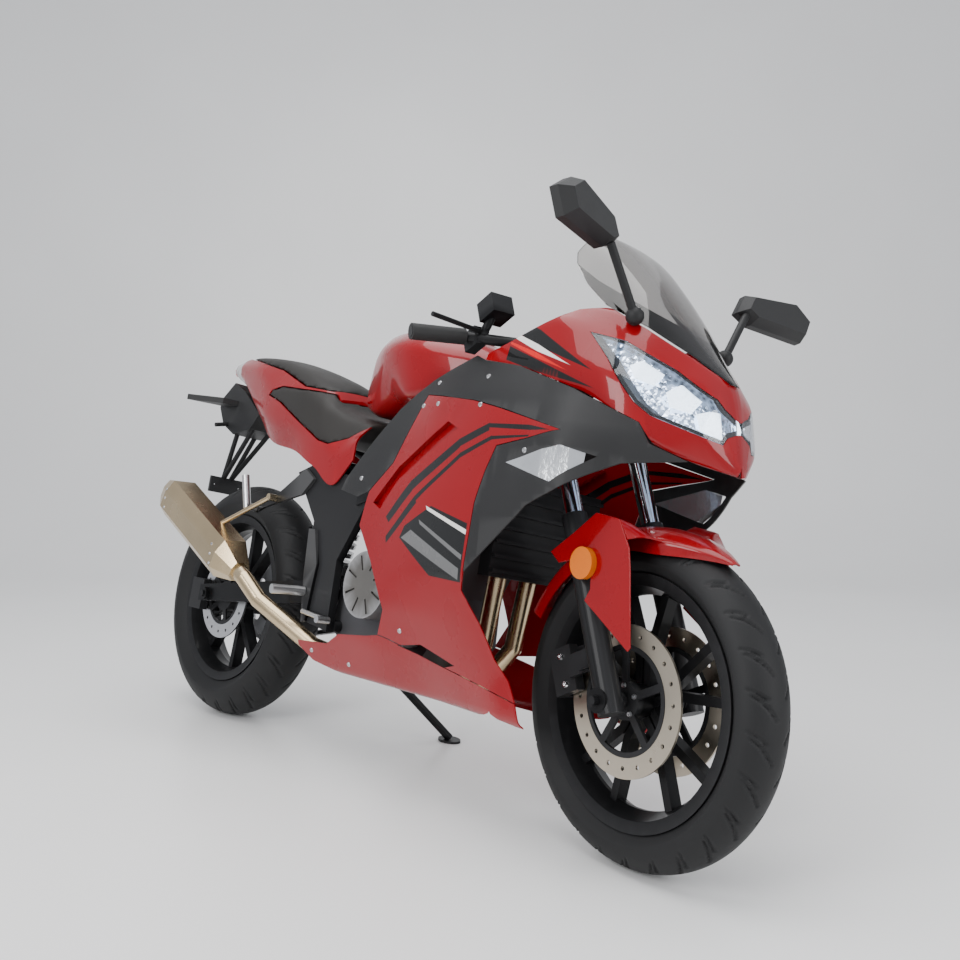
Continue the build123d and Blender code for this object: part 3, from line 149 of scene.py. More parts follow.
def studio_cove():
    """Floor and back wall in one sheet, across the camera's view."""
    curve_start = WALL_AWAY - COVE_RADIUS
    profile = [(-FLOOR_HALF, 0.0), (curve_start, 0.0)]
    for step in range(1, COVE_STEPS + 1):
        turn = pi / 2 * step / COVE_STEPS
        profile.append((curve_start + COVE_RADIUS * sin(turn), COVE_RADIUS * (1 - cos(turn))))
    profile.append((WALL_AWAY, WALL_HEIGHT))
    mesh = bpy.data.meshes.new("studio_cove")
    points = [
        level_look * along + level_right * side * FLOOR_HALF + Vector((0, 0, height))
        for along, height in profile for side in (-1, 1)
    ]
    faces = [(2 * i, 2 * i + 1, 2 * i + 3, 2 * i + 2) for i in range(len(profile) - 1)]
    mesh.from_pydata(points, [], faces)
    mesh.polygons.foreach_set("use_smooth", [True] * len(faces))
    mesh.materials.append(stage_material())
    cove = bpy.data.objects.new("studio_cove", mesh)
    bpy.context.scene.collection.objects.link(cove)
    return cove


studio_cove()
print("floor and wall ready")

# %% [markdown]
# Small lamps would burn hard white spots into the paint. Three square area lights stand in for a
# studio's soft boxes: one overhead for the long highlights, a key on the photographer's left and a
# weaker fill ahead of the machine. A pale, slightly blue surrounding lifts the shadows.

# %% Lights
LIGHTS = (
    # name, place, target, size, power
    ("overhead", (0.2, -0.6, 3.6), (0, 0, 0.4), 3.2, 130),
    ("key", (0.6, -3.6, 2.2), (0, 0, 0.6), 1.8, 90),
    ("fill", (3.6, 0.4, 1.4), (0.4, 0, 0.5), 1.6, 45),
)
SURROUND_COLOUR, SURROUND_STRENGTH = (0.9, 0.93, 1.0, 1), 0.75


def area_light(name, place, target, size, power):
    """Square soft light that faces its target."""
    data = bpy.data.lights.new(name, "AREA")
    data.energy = power
    data.size = size
    light = bpy.data.objects.new(name, data)
    light.location = place
    light.rotation_euler = (Vector(target) - Vector(place)).to_track_quat("-Z", "Y").to_euler()
    bpy.context.scene.collection.objects.link(light)


for row in LIGHTS:
    area_light(*row)
world = bpy.data.worlds.new("studio")
world.use_nodes = True
world.node_tree.nodes["Background"].inputs["Color"].default_value = SURROUND_COLOUR
world.node_tree.nodes["Background"].inputs["Strength"].default_value = SURROUND_STRENGTH
bpy.context.scene.world = world
print(len(LIGHTS), "lights")

# %% [markdown]
# No real surface is one flat colour. Each material could be varied by itself, but all of them vary in
# the same way, so one shared node group does it: it varies the colour in broad patches, adds a fine
# grain and lightens the edges, partly as rubbed wear and partly as a painted highlight. Each material
# puts in its own colours and amounts.

# %% Worn surface
PATCH_SCALE, EDGE_STARTS, EDGE_FULL, GRAIN_HEIGHT, ROUGHNESS_SWING = 11.0, 0.515, 0.60, 0.0006, 0.16


def add_nodes(tree, kind, **settings):
    """One node with its settings; inputs are given by name with their spaces as underscores."""
    node = tree.nodes.new(kind)
    for key, value in settings.items():
        if hasattr(node, key):
            setattr(node, key, value)
        else:
            node.inputs[key.replace("_", " ")].default_value = value
    return node


def group_sockets(tree, inputs, outputs):
    """Give a group its sockets, and return its input and output nodes."""
    for name, kind, value in inputs:
        socket = tree.interface.new_socket(name=name, in_out="INPUT", socket_type=kind)
        if value is not None:
            socket.default_value = value
    for name, kind in outputs:
        tree.interface.new_socket(name=name, in_out="OUTPUT", socket_type=kind)
    return tree.nodes.new("NodeGroupInput"), tree.nodes.new("NodeGroupOutput")


def worn_and_highlighted_surface_group():
    """Colour patches, grain and lighter edges (partly wear, partly painted highlight) for any solid surface."""
    tree = bpy.data.node_groups.new("worn_and_highlighted_surface", "ShaderNodeTree")
    start, end = group_sockets(
        tree,
        (("Color", "NodeSocketColor", None), ("Edge Color", "NodeSocketColor", None),
         ("Wear And Painted Highlight", "NodeSocketFloat", 0.3), ("Roughness", "NodeSocketFloat", 0.4),
         ("Variation", "NodeSocketFloat", 0.15), ("Grain Scale", "NodeSocketFloat", 900.0),
         ("Bump", "NodeSocketFloat", 0.1)),
        (("Color", "NodeSocketColor"), ("Roughness", "NodeSocketFloat"), ("Normal", "NodeSocketVector")),
    )
    link = tree.links.new
    place = tree.nodes.new("ShaderNodeTexCoord")
    patches = add_nodes(tree, "ShaderNodeTexNoise", Scale=PATCH_SCALE, Detail=5.0)
    link(place.outputs["Object"], patches.inputs["Vector"])
    swing = add_nodes(tree, "ShaderNodeMath", operation="SUBTRACT")
    swing.inputs[1].default_value = 0.5
    link(patches.outputs["Fac"], swing.inputs[0])
    amount = add_nodes(tree, "ShaderNodeMath", operation="MULTIPLY_ADD")
    amount.inputs[2].default_value = 1.0
    link(swing.outputs[0], amount.inputs[0])
    link(start.outputs["Variation"], amount.inputs[1])
    shade = add_nodes(tree, "ShaderNodeVectorMath", operation="SCALE")
    link(start.outputs["Color"], shade.inputs[0])
    link(amount.outputs[0], shade.inputs["Scale"])
    # Convex edges are lightened towards the edge colour: partly rubbed wear, partly a painted highlight.
    shape = tree.nodes.new("ShaderNodeNewGeometry")
    edge = add_nodes(tree, "ShaderNodeMapRange", From_Min=EDGE_STARTS, From_Max=EDGE_FULL)
    link(shape.outputs["Pointiness"], edge.inputs["Value"])
    edge_amount = add_nodes(tree, "ShaderNodeMath", operation="MULTIPLY")
    link(edge.outputs[0], edge_amount.inputs[0])
    link(start.outputs["Wear And Painted Highlight"], edge_amount.inputs[1])
    mixed = add_nodes(tree, "ShaderNodeMix", data_type="RGBA")
    link(edge_amount.outputs[0], mixed.inputs[0])
    link(shade.outputs[0], mixed.inputs[6])
    link(start.outputs["Edge Color"], mixed.inputs[7])
    grain = add_nodes(tree, "ShaderNodeTexNoise", Detail=3.0)
    link(place.outputs["Object"], grain.inputs["Vector"])
    link(start.outputs["Grain Scale"], grain.inputs["Scale"])
    bump = add_nodes(tree, "ShaderNodeBump", Distance=GRAIN_HEIGHT)
    link(grain.outputs["Fac"], bump.inputs["Height"])
    link(start.outputs["Bump"], bump.inputs["Strength"])
    rough = add_nodes(tree, "ShaderNodeMath", operation="MULTIPLY_ADD")
    rough.inputs[1].default_value = ROUGHNESS_SWING
    link(swing.outputs[0], rough.inputs[0])
    link(start.outputs["Roughness"], rough.inputs[2])
    link(mixed.outputs[2], end.inputs["Color"])
    link(rough.outputs[0], end.inputs["Roughness"])
    link(bump.outputs["Normal"], end.inputs["Normal"])
    return tree


WORN_AND_HIGHLIGHTED = worn_and_highlighted_surface_group()
print("group:", WORN_AND_HIGHLIGHTED.name)

# %% [markdown]
# Stripes and two-tone pieces are drawn where a designer would draw them: in millimetres on the upright
# bike. Object coordinates are metres in the leaning model, so a second group turns them back. It holds
# for every piece alike, because each object sits at the origin with its place in its mesh.

# %% Places on the upright bike
def bike_place_group():
    """Object coordinates turned back into millimetres on the upright bike."""
    tree = bpy.data.node_groups.new("bike_place", "ShaderNodeTree")
    start, end = group_sockets(tree, (), (("Place", "NodeSocketVector"),))
    back = bike.inverted()
    turn = back.to_quaternion().to_euler()
    place = tree.nodes.new("ShaderNodeTexCoord")
    mapping = add_nodes(tree, "ShaderNodeMapping", Location=back.translation, Rotation=turn,
                        Scale=(1 / MM, 1 / MM, 1 / MM))
    tree.links.new(place.outputs["Object"], mapping.inputs["Vector"])
    tree.links.new(mapping.outputs["Vector"], end.inputs["Place"])
    return tree


BIKE_PLACE = bike_place_group()
print("group:", BIKE_PLACE.name)

# %% [markdown]
# Every solid finish is one row of a table: colour, roughness, how metallic and how lacquered it is, its
# grain and how much its edges are lightened, partly as wear and partly as a painted highlight. Written
# out one by one they would be hard to compare, and in a table the blacks can be set against each other.
# Lacquered rows get little shine under the lacquer, which keeps the red deep.

# %% Table of finishes
PAINT_SHINE, PLASTIC_SHINE, LACQUER_ROUGHNESS = 0.12, 0.28, 0.02
# name: colour, edge colour, roughness, metallic, coat, variation, grain scale, bump, edge wear and painted
# highlight
FINISHES = {
    "paint_red": ((0.235, 0.0004, 0.0036), (0.36, 0.004, 0.008), 0.28, 0.0, 0.55, 0.10, 1500, 0.02, 0.25),
    "plastic_black": ((0.010, 0.010, 0.0105), (0.035, 0.035, 0.035), 0.50, 0.0, 0.0, 0.30, 1400, 0.40, 0.4),
    "panel_charcoal": (
        (0.016, 0.016, 0.0165), (0.045, 0.045, 0.045), 0.50, 0.0, 0.0, 0.25, 1100, 0.60, 0.4,
    ),
    "frame_black": ((0.006, 0.006, 0.0065), (0.05, 0.05, 0.052), 0.42, 0.0, 0.1, 0.30, 700, 0.15, 0.3),
    "gloss_black": ((0.006, 0.006, 0.006), (0.03, 0.03, 0.03), 0.20, 0.0, 1.0, 0.15, 900, 0.03, 0.2),
    "indicator_clear": ((0.60, 0.62, 0.64), (0.90, 0.90, 0.90), 0.16, 0.8, 1.0, 0.50, 90, 1.00, 0.2),
    "engine_grey": ((0.026, 0.026, 0.028), (0.20, 0.20, 0.21), 0.46, 0.5, 0.0, 0.40, 600, 0.50, 0.4),
    "cover_grey": ((0.125, 0.120, 0.112), (0.42, 0.42, 0.43), 0.50, 0.5, 0.0, 0.30, 700, 0.40, 0.6),
    "steel": ((0.50, 0.50, 0.51), (0.8, 0.8, 0.8), 0.30, 1.0, 0.0, 0.25, 500, 0.10, 0.4),
    "disc_bronze": ((0.40, 0.34, 0.26), (0.7, 0.65, 0.55), 0.30, 1.0, 0.0, 0.30, 500, 0.12, 0.3),
    "chrome": ((0.82, 0.82, 0.83), (0.9, 0.9, 0.9), 0.09, 1.0, 0.0, 0.05, 400, 0.02, 0.1),
    "bronze_steel": ((0.55, 0.43, 0.27), (0.8, 0.7, 0.5), 0.26, 1.0, 0.0, 0.35, 300, 0.06, 0.3),
    "tyre": ((0.010, 0.010, 0.0105), (0.05, 0.05, 0.05), 0.60, 0.0, 0.0, 0.35, 500, 0.30, 0.3),
    "rubber": ((0.013, 0.013, 0.013), (0.04, 0.04, 0.04), 0.55, 0.0, 0.0, 0.30, 800, 0.40, 0.3),
    "leather_black": ((0.020, 0.018, 0.016), (0.05, 0.05, 0.045), 0.50, 0.0, 0.0, 0.30, 900, 0.55, 0.4),
    "lens_amber": ((0.62, 0.105, 0.002), (0.75, 0.25, 0.02), 0.12, 0.0, 0.3, 0.60, 110, 1.00, 0.3),
    "lens_red": ((0.45, 0.004, 0.004), (0.7, 0.05, 0.05), 0.12, 0.0, 1.0, 0.15, 350, 0.30, 0.3),
    "alloy": ((0.58, 0.58, 0.58), (0.85, 0.85, 0.85), 0.30, 1.0, 0.0, 0.20, 600, 0.12, 0.4),
}


def group_node(tree, group):
    """A node that uses this group."""
    node = tree.nodes.new("ShaderNodeGroup")
    node.node_tree = group
    return node


def solid_finish(name):
    """Material from one row of the table, with its shader and the shared surface group linked."""
    colour, edge, roughness, metallic, coat, variation, grain, bump, wear_and_painted_highlight = FINISHES[name]
    material = bpy.data.materials.new(name)
    material.use_nodes = True
    tree = material.node_tree
    shader = tree.nodes["Principled BSDF"]
    worn_and_highlighted = group_node(tree, WORN_AND_HIGHLIGHTED)
    worn_and_highlighted.name = "worn_and_highlighted"
    # Each finish sets how far its edges are lightened, partly as wear and partly as a painted highlight.
    for key, value in (
        ("Color", (*colour, 1)), ("Edge Color", (*edge, 1)), ("Wear And Painted Highlight", wear_and_painted_highlight), ("Roughness", roughness),
        ("Variation", variation), ("Grain Scale", grain), ("Bump", bump),
    ):
        worn_and_highlighted.inputs[key].default_value = value
    tree.links.new(worn_and_highlighted.outputs["Color"], shader.inputs["Base Color"])
    tree.links.new(worn_and_highlighted.outputs["Roughness"], shader.inputs["Roughness"])
    tree.links.new(worn_and_highlighted.outputs["Normal"], shader.inputs["Normal"])
    shader.inputs["Metallic"].default_value = metallic
    shader.inputs["Specular IOR Level"].default_value = PAINT_SHINE if coat else PLASTIC_SHINE
    shader.inputs["Coat Weight"].default_value = coat
    shader.inputs["Coat Roughness"].default_value = LACQUER_ROUGHNESS
    return material


finishes = {name: solid_finish(name) for name in FINISHES}
print(len(finishes), "solid finishes")

# %% [markdown]
# The screen and the lamp lenses are clear plastic. Plain transmission would look like new glass, so a
# noise spreads the roughness a little, like the haze of fine scratches that wiping leaves.

# %% Clear plastic
HAZE_SCALE, HAZE_SPREAD, PLASTIC_IOR = 60.0, 0.05, 1.46


def glass_finish(name, colour, roughness):
    """Clear plastic with a faint haze of fine scratches."""
    material = bpy.data.materials.new(name)
    material.use_nodes = True
    tree = material.node_tree
    shader = tree.nodes["Principled BSDF"]
    shader.inputs["Base Color"].default_value = (*colour, 1)
    shader.inputs["Transmission Weight"].default_value = 1.0
    shader.inputs["IOR"].default_value = PLASTIC_IOR
    place = tree.nodes.new("ShaderNodeTexCoord")
    haze = add_nodes(tree, "ShaderNodeTexNoise", Scale=HAZE_SCALE, Detail=6.0)
    spread = add_nodes(tree, "ShaderNodeMapRange", To_Min=roughness, To_Max=roughness + HAZE_SPREAD)
    tree.links.new(place.outputs["Object"], haze.inputs["Vector"])
    tree.links.new(haze.outputs["Fac"], spread.inputs["Value"])
    tree.links.new(spread.outputs[0], shader.inputs["Roughness"])
    return material


finishes["screen_smoke"] = glass_finish("screen_smoke", (0.36, 0.345, 0.33), 0.01)
finishes["lens_clear"] = glass_finish("lens_clear", (0.92, 0.95, 1.0), 0.01)
print("clear plastics ready")

# %% [markdown]
# The bike's stripes are vinyl under lacquer. They could be an image, but a stripe with straight edges
# is only a polygon, and a convex polygon is the place where all its edges' half-planes overlap. Each
# half-plane is one dot product, and their least value is the stripe's mask.

# %% Stripes
STRIPE_SOFTNESS = 0.8


def polygon_mask(tree, place, outline):
    """1 inside a convex polygon of (x, z), drawn clockwise or not, and 0 outside it."""
    centre = sum((Vector(point) for point in outline), Vector((0, 0))) / len(outline)
    mask = None
    for first, second in zip(outline, outline[1:] + outline[:1]):
        along = Vector(second) - Vector(first)
        normal = Vector((-along.y, along.x)).normalized()
        if normal.dot(centre - Vector(first)) < 0:
            normal = -normal
        reach = add_nodes(tree, "ShaderNodeVectorMath", operation="DOT_PRODUCT")
        reach.inputs[1].default_value = (normal.x, 0, normal.y)
        tree.links.new(place, reach.inputs[0])
        level = normal.dot(Vector(first))
        edge = add_nodes(tree, "ShaderNodeMapRange", From_Min=level, From_Max=level + STRIPE_SOFTNESS)
        tree.links.new(reach.outputs["Value"], edge.inputs["Value"])
        if mask is None:
            mask = edge.outputs[0]
        else:
            least = add_nodes(tree, "ShaderNodeMath", operation="MINIMUM")
            tree.links.new(mask, least.inputs[0])
            tree.links.new(edge.outputs[0], least.inputs[1])
            mask = least.outputs[0]
    return mask


def striped_paint(name, stripes):
    """Red paint with stripes, each a (colour, [convex polygons]) drawn over the ones before it."""
    material = solid_finish("paint_red")
    material.name = name
    tree = material.node_tree
    place = group_node(tree, BIKE_PLACE).outputs["Place"]
    worn_and_highlighted = tree.nodes["worn_and_highlighted"]
    colour = add_nodes(tree, "ShaderNodeRGB")
    colour.outputs[0].default_value = (*FINISHES["paint_red"][0], 1)
    current = colour.outputs[0]
    for shade, outlines in stripes:
        for outline in outlines:
            over = add_nodes(tree, "ShaderNodeMix", data_type="RGBA")
            over.inputs[7].default_value = (*shade, 1)
            tree.links.new(polygon_mask(tree, place, outline), over.inputs[0])
            tree.links.new(current, over.inputs[6])
            current = over.outputs[2]
    tree.links.new(current, worn_and_highlighted.inputs["Color"])
    return material


print("stripe tools ready")

# %% [markdown]
# The footrests are bright alloy pegs on black heel plates, and the CAD has both in one node. Cutting
# the node in two would lose its rounded joint, so the material tells them apart by how far out a point
# lies.

# %% Footrests
RIDER_PLATE_REACH, PASSENGER_PLATE_REACH = 141.0, 142.0
# The footrests' edges are lightened only a little, as wear and as painted highlight.
PLATE_WEAR_AND_PAINTED_HIGHLIGHT = 0.05


def footrest_finish(name, plate_reach):
    """Black plates up to this distance from the bike's middle, bright pegs beyond it."""
    material = solid_finish("alloy")
    material.name = name
    tree = material.node_tree
    parts = tree.nodes.new("ShaderNodeSeparateXYZ")
    tree.links.new(group_node(tree, BIKE_PLACE).outputs["Place"], parts.inputs[0])
    away = add_nodes(tree, "ShaderNodeMath", operation="ABSOLUTE")
    tree.links.new(parts.outputs["Y"], away.inputs[0])
    bright = add_nodes(tree, "ShaderNodeMapRange", From_Min=plate_reach, From_Max=plate_reach + 1.0)
    tree.links.new(away.outputs[0], bright.inputs["Value"])
    over = add_nodes(tree, "ShaderNodeMix", data_type="RGBA")
    over.inputs[6].default_value = (*FINISHES["frame_black"][0], 1)
    over.inputs[7].default_value = (*FINISHES["alloy"][0], 1)
    tree.links.new(bright.outputs[0], over.inputs[0])
    tree.links.new(over.outputs[2], tree.nodes["worn_and_highlighted"].inputs["Color"])
    tree.nodes["worn_and_highlighted"].inputs["Wear And Painted Highlight"].default_value = PLATE_WEAR_AND_PAINTED_HIGHLIGHT
    tree.links.new(bright.outputs[0], tree.nodes["Principled BSDF"].inputs["Metallic"])
    return material


finishes["rider_pegs"] = footrest_finish("rider_pegs", RIDER_PLATE_REACH)
finishes["passenger_pegs"] = footrest_finish("passenger_pegs", PASSENGER_PLATE_REACH)
print("footrests' finish ready")

# %% [markdown]
# Every CAD node starts with the finish that its record names. A few look different in the photograph
# from others of their slot, such as the tan front discs, and get a finish of their own.

# %% Finish on each node
SLOT_OVER = {
    "engine_covers": "cover_grey", "front_discs": "disc_bronze", "front_indicators": "indicator_clear",
    "side_panel_right": "panel_charcoal", "side_panel_left": "panel_charcoal",
    "rider_footrests": "rider_pegs", "passenger_footrests": "passenger_pegs",
}
for row in frame["record"]["subparts"]:
    obj = nodes[row["node"]]
    obj.data.materials.clear()
    obj.data.materials.append(finishes[SLOT_OVER.get(row["node"], row["material_slot"])])
print(len(finishes), "finishes on", len(nodes), "nodes")

# %% [markdown]
# The body panels are thin moulded skins with soft ridges. They could be pushed into shape point by
# point, but few numbers are easier to correct. So each is lofted from a few rows of half-sections: the
# corners of a row are rounded, and cubic curves carry the rows smoothly along the bike.

# %% Smooth sections
scene = bpy.context.scene


def rounded(points, share=0.3, steps=4):
    """Polyline whose inner corners are short curves."""
    line = [points[0]]
    for before, corner, after in zip(points, points[1:], points[2:]):
        start, end = corner.lerp(before, share), corner.lerp(after, share)
        for step in range(steps + 1):
            t = step / steps
            line.append(start.lerp(corner, t).lerp(corner.lerp(end, t), t))
    return line + [points[-1]]


def flowing(sections, spacing):
    """More sections between the given ones, on cubic curves that run through them."""
    fine = []
    last = len(sections) - 1
    for number in range(last):
        before, this = sections[max(number - 1, 0)], sections[number]
        after, beyond = sections[number + 1], sections[min(number + 2, last)]
        steps = max(1, round((after[0].x - this[0].x) / spacing))
        for step in range(steps):
            t = step / steps
            fine.append([
                b * (2 * t**3 - 3 * t**2 + 1) + c * (3 * t**2 - 2 * t**3)
                + (c - a) * ((c.x - b.x) / (c.x - a.x)) * (t**3 - 2 * t**2 + t)
                + (d - b) * ((c.x - b.x) / (d.x - b.x)) * (t**3 - t**2)
                for a, b, c, d in zip(before, this, after, beyond)
            ])
    return fine + [sections[last]]


def half_sections(rows, spacing=10.0, share=0.3):
    """Smooth right halves, from rows of (x, [(half width, z), ...] from the top down)."""
    return flowing([rounded([Vector((x, -y, z)) for y, z in half], share) for x, half in rows], spacing)


def whole_sections(rows, spacing=10.0, share=0.3):
    """Smooth open sections from the left foot over the ridge to the right foot."""
    lines = []
    for x, half in rows:
        left_side = [Vector((x, y, z)) for y, z in reversed(half)]
        right_side = [Vector((x, -y, z)) for y, z in half if y > 0]
        lines.append(rounded(left_side + right_side, share))
    return flowing(lines, spacing)


print("section tools ready")

# %% [markdown]
# The sections are joined to a sheet of quads. A panel needs a real wall, so the sheet is doubled
# inwards along its normals and closed around its rim. A second depth places a skin under another one,
# which is how the lamps' reflectors and the air outlets' floors are made.

# %% Skins
def grid_mesh(sections, closed=False):
    """Bmesh of quads through the sections; a closed one is capped at both ends."""
    build = bmesh.new()
    rows = [[build.verts.new(point) for point in section] for section in sections]
    width = len(rows[0])
    for near, far in zip(rows, rows[1:]):
        for i in range(width if closed else width - 1):
            j = (i + 1) % width
            build.faces.new((near[i], far[i], far[j], near[j]))
    if closed:
        build.faces.new(rows[0])
        build.faces.new(rows[-1][::-1])
    bmesh.ops.recalc_face_normals(build, faces=build.faces)
    return build


def to_mesh(build, name):
    """Mesh data from a bmesh, which is freed."""
    mesh = bpy.data.meshes.new(name)
    build.to_mesh(mesh)
    build.free()
    return mesh


def skin_mesh(sections, wall, depth=0.0):
    """Closed thin skin, its outer face depth inside the sections' surface."""
    build = grid_mesh(sections)
    build.normal_update()
    middle = sum((v.co for v in build.verts), Vector()) / len(build.verts)
    centre = Vector((middle.x, 0, middle.z))
    outward = sum(v.normal.dot(v.co - centre) for v in build.verts)
    sign = 1 if outward > 0 else -1
    normals = [v.normal * sign for v in build.verts]
    outer = [v.co - n * depth for v, n in zip(build.verts, normals)]
    inner = [v.co - n * (depth + wall) for v, n in zip(build.verts, normals)]
    build.free()
    width = len(sections[0])
    solid = bmesh.new()
    layers = [[solid.verts.new(p) for p in layer] for layer in (outer, inner)]
    count = len(sections)
    for layer in layers:
        for i in range(count - 1):
            for j in range(width - 1):
                a = i * width + j
                solid.faces.new((layer[a], layer[a + width], layer[a + width + 1], layer[a + 1]))
    rim = [i * width for i in range(count)]
    rim += [(count - 1) * width + j for j in range(1, width)]
    rim += [i * width + width - 1 for i in range(count - 2, -1, -1)]
    rim += [j for j in range(width - 2, 0, -1)]
    for a, b in zip(rim, rim[1:] + rim[:1]):
        solid.faces.new((layers[0][a], layers[0][b], layers[1][b], layers[1][a]))
    bmesh.ops.recalc_face_normals(solid, faces=solid.faces)
    return to_mesh(solid, "skin")


print("skin tools ready")

# %% [markdown]
# Real panels meet in thin, even gaps. That is easiest where all of them are cut from one skin, each
# with its own outline in the side view, like dough under a cutter. A Boolean modifier does the cut, and
# its result is kept as a plain mesh.

# %% Cutting
HALF_REACH, SHARPEST_CORNER = 300.0, 0.35


def prism(outline, low_y=-HALF_REACH, high_y=HALF_REACH):
    """Block with this outline in the side view."""
    build = bmesh.new()
    near = [build.verts.new((x, low_y, z)) for x, z in outline]
    far = [build.verts.new((x, high_y, z)) for x, z in outline]
    build.faces.new(near)
    build.faces.new(far[::-1])
    for i in range(len(outline)):
        j = (i + 1) % len(outline)
        build.faces.new((near[i], near[j], far[j], far[i]))
    bmesh.ops.recalc_face_normals(build, faces=build.faces)
    return to_mesh(build, "prism")


def carved(mesh, *cuts):
    """The mesh after boolean cuts, each given as (operation, cutter mesh)."""
    body = bpy.data.objects.new("carved", mesh)
    scene.collection.objects.link(body)
    cutters = []
    for operation, cutter_mesh in cuts:
        cutter = bpy.data.objects.new("cutter", cutter_mesh)
        scene.collection.objects.link(cutter)
        cutters.append(cutter)
        modifier = body.modifiers.new("cut", "BOOLEAN")
        modifier.operation = operation
        modifier.solver = "EXACT"
        modifier.object = cutter
    bpy.context.view_layer.update()
    result = bpy.data.meshes.new_from_object(body.evaluated_get(bpy.context.evaluated_depsgraph_get()))
    for obj in [body, *cutters]:
        bpy.data.objects.remove(obj)
    return result


def mirrored(mesh):
    """A copy on the other side of the bike."""
    copy = mesh.copy()
    copy.transform(Matrix.Scale(-1, 4, (0, 1, 0)))
    copy.flip_normals()
    return copy


def shrunk(outline, amount):
    """The outline moved inwards (or outwards, if negative) along the corners' bisectors."""
    count = len(outline)
    pairs = zip(outline, outline[1:] + outline[:1])
    turn = 1 if sum(a[0] * b[1] - b[0] * a[1] for a, b in pairs) > 0 else -1
    moved = []
    for i in range(count):
        a, b, c = (Vector(outline[k % count]) for k in (i - 1, i, i + 1))
        first, second = (b - a).normalized(), (c - b).normalized()
        inward = Vector((-first.y, first.x)) + Vector((-second.y, second.x))
        length = max(inward.length_squared / 2, SHARPEST_CORNER)
        moved.append(tuple(b + inward * turn * amount / length))
    return tuple(moved)


def plan_block(half_outline, low_z, high_z):
    """Block with this outline in plan, given for the left side and mirrored to the right."""
    ring = [*half_outline, *[(x, -y) for x, y in reversed(half_outline)]]
    build = bmesh.new()
    low = [build.verts.new((x, y, low_z)) for x, y in ring]
    high = [build.verts.new((x, y, high_z)) for x, y in ring]
    build.faces.new(low)
    build.faces.new(high[::-1])
    for i in range(len(ring)):
        j = (i + 1) % len(ring)
        build.faces.new((low[i], low[j], high[j], high[i]))
    bmesh.ops.recalc_face_normals(build, faces=build.faces)
    return to_mesh(build, "plan_block")


print("cutting tools ready")

# %% [markdown]
# Each finished mesh becomes an object in the same way: placed by its matrix, smooth with sharp creases,
# with a small live bevel where the real edge is rounded, and tied to the body that it moves with.

# %% Finished pieces
def add_piece(name, mesh, material, body, place=None, bevel=0.0, replaced=(), sharp=35):
    """Finished piece in the model's frame, riding on its body."""
    if place is not None:
        mesh.transform(place)
    mesh.materials.clear()
    mesh.materials.append(material)
    obj = bpy.data.objects.new(name, mesh)
    scene.collection.objects.link(obj)
    mesh.polygons.foreach_set("use_smooth", [True] * len(mesh.polygons))
    mesh.set_sharp_from_angle(angle=radians(sharp))
    if bevel:
        edge = obj.modifiers.new("bevel", "BEVEL")
        edge.width = bevel * MM
        edge.segments = 2
        edge.limit_method = "ANGLE"
        edge.angle_limit = radians(sharp)
        edge.harden_normals = True
    if replaced:
        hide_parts(*replaced)
    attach(obj, body)
    return obj


print("piece tool ready")

# %% [markdown]
# The side of the bike is one skin from the tank's tail to the headlamps. It swells towards the knees of
# the fairing and draws in again under the nose, so eight rows of half widths describe it.

# %% Side skin
PANEL_WALL, PANEL_GAP = 3.0, 1.0
ROW_SPACING, CORNER_SHARE = 9.0, 0.22
SIDE_FOOT = (90, 204)
side_heights = (930, 820, 738, 610, 470, 375, 290, 212)
# x, then the half widths at those heights
side_widths = (
    (500, (110, 150, 160, 168, 172, 170, 164, 136)),
    (650, (120, 160, 178, 192, 186, 176, 164, 134)),
    (800, (140, 172, 190, 206, 198, 188, 170, 132)),
    (950, (165, 206, 218, 228, 216, 198, 166, 130)),
    (1100, (182, 226, 236, 238, 228, 204, 178, 156)),
    (1220, (186, 218, 240, 240, 222, 198, 186, 185)),
    (1330, (176, 196, 236, 226, 204, 188, 184, 182)),
    (1500, (20, 40, 74, 70, 60, 50, 40, 30)),
)
side_rows = [(x, [*zip(widths, side_heights), SIDE_FOOT]) for x, widths in side_widths]
side_half = half_sections(side_rows, ROW_SPACING, CORNER_SHARE)
print(len(side_half), "sections of", len(side_half[0]), "points")

# %% [markdown]
# The outlines are what the eye reads first: the red fairing's forward point, the charcoal panel that
# wraps it, and the belly pan with its triangular slot. Neighbours share their corners, and each is
# drawn in by the gap, so the joint lines stay even.

# %% Outlines in the side view
fairing_outline = (
    (872, 825), (950, 815), (1060, 800), (1150, 780), (1310, 738), (1155, 708), (1135, 660), (1118, 600),
    (1105, 468), (1100, 435), (1146, 380), (1186, 320), (1225, 288), (1252, 252), (1006, 285), (850, 312),
    (820, 315), (840, 369), (810, 418), (780, 466), (722, 537), (742, 612), (808, 676), (836, 740),
)
side_panel_outline = (
    (1040, 890), (1150, 870), (1300, 820), (1410, 770), (1430, 735), (1480, 713), (1400, 692), (1300, 625),
    (1250, 600), (1105, 468), (1118, 600), (1135, 660), (1155, 708), (1310, 738), (1150, 780), (1060, 800),
    (950, 815), (872, 825), (836, 740), (808, 676), (742, 612), (700, 598), (622, 612), (635, 640),
    (770, 800), (815, 832), (866, 858), (1000, 905),
)
pan_outline = (
    (507, 262), (623, 270), (672, 297), (778, 308), (820, 315), (850, 312), (1006, 285), (1252, 252),
    (1276, 206), (900, 206), (660, 208), (560, 222), (507, 250),
)
vent_outline = ((1028, 744), (988, 760), (838, 668), (765, 588), (795, 575), (850, 640))
slot_outline = ((884, 303), (961, 315), (1067, 290), (1034, 282))
indicator_outline = ((1185, 677), (1300, 645), (1370, 698), (1310, 712))
print("outlines of", len(fairing_outline), "and", len(side_panel_outline), "corners")

# %% [markdown]
# The stripes of the fairing follow its ridge: a broad black band above a thin one, and a decal of grey
# bars and one white line near the front edge. Each is a short chain of convex polygons.

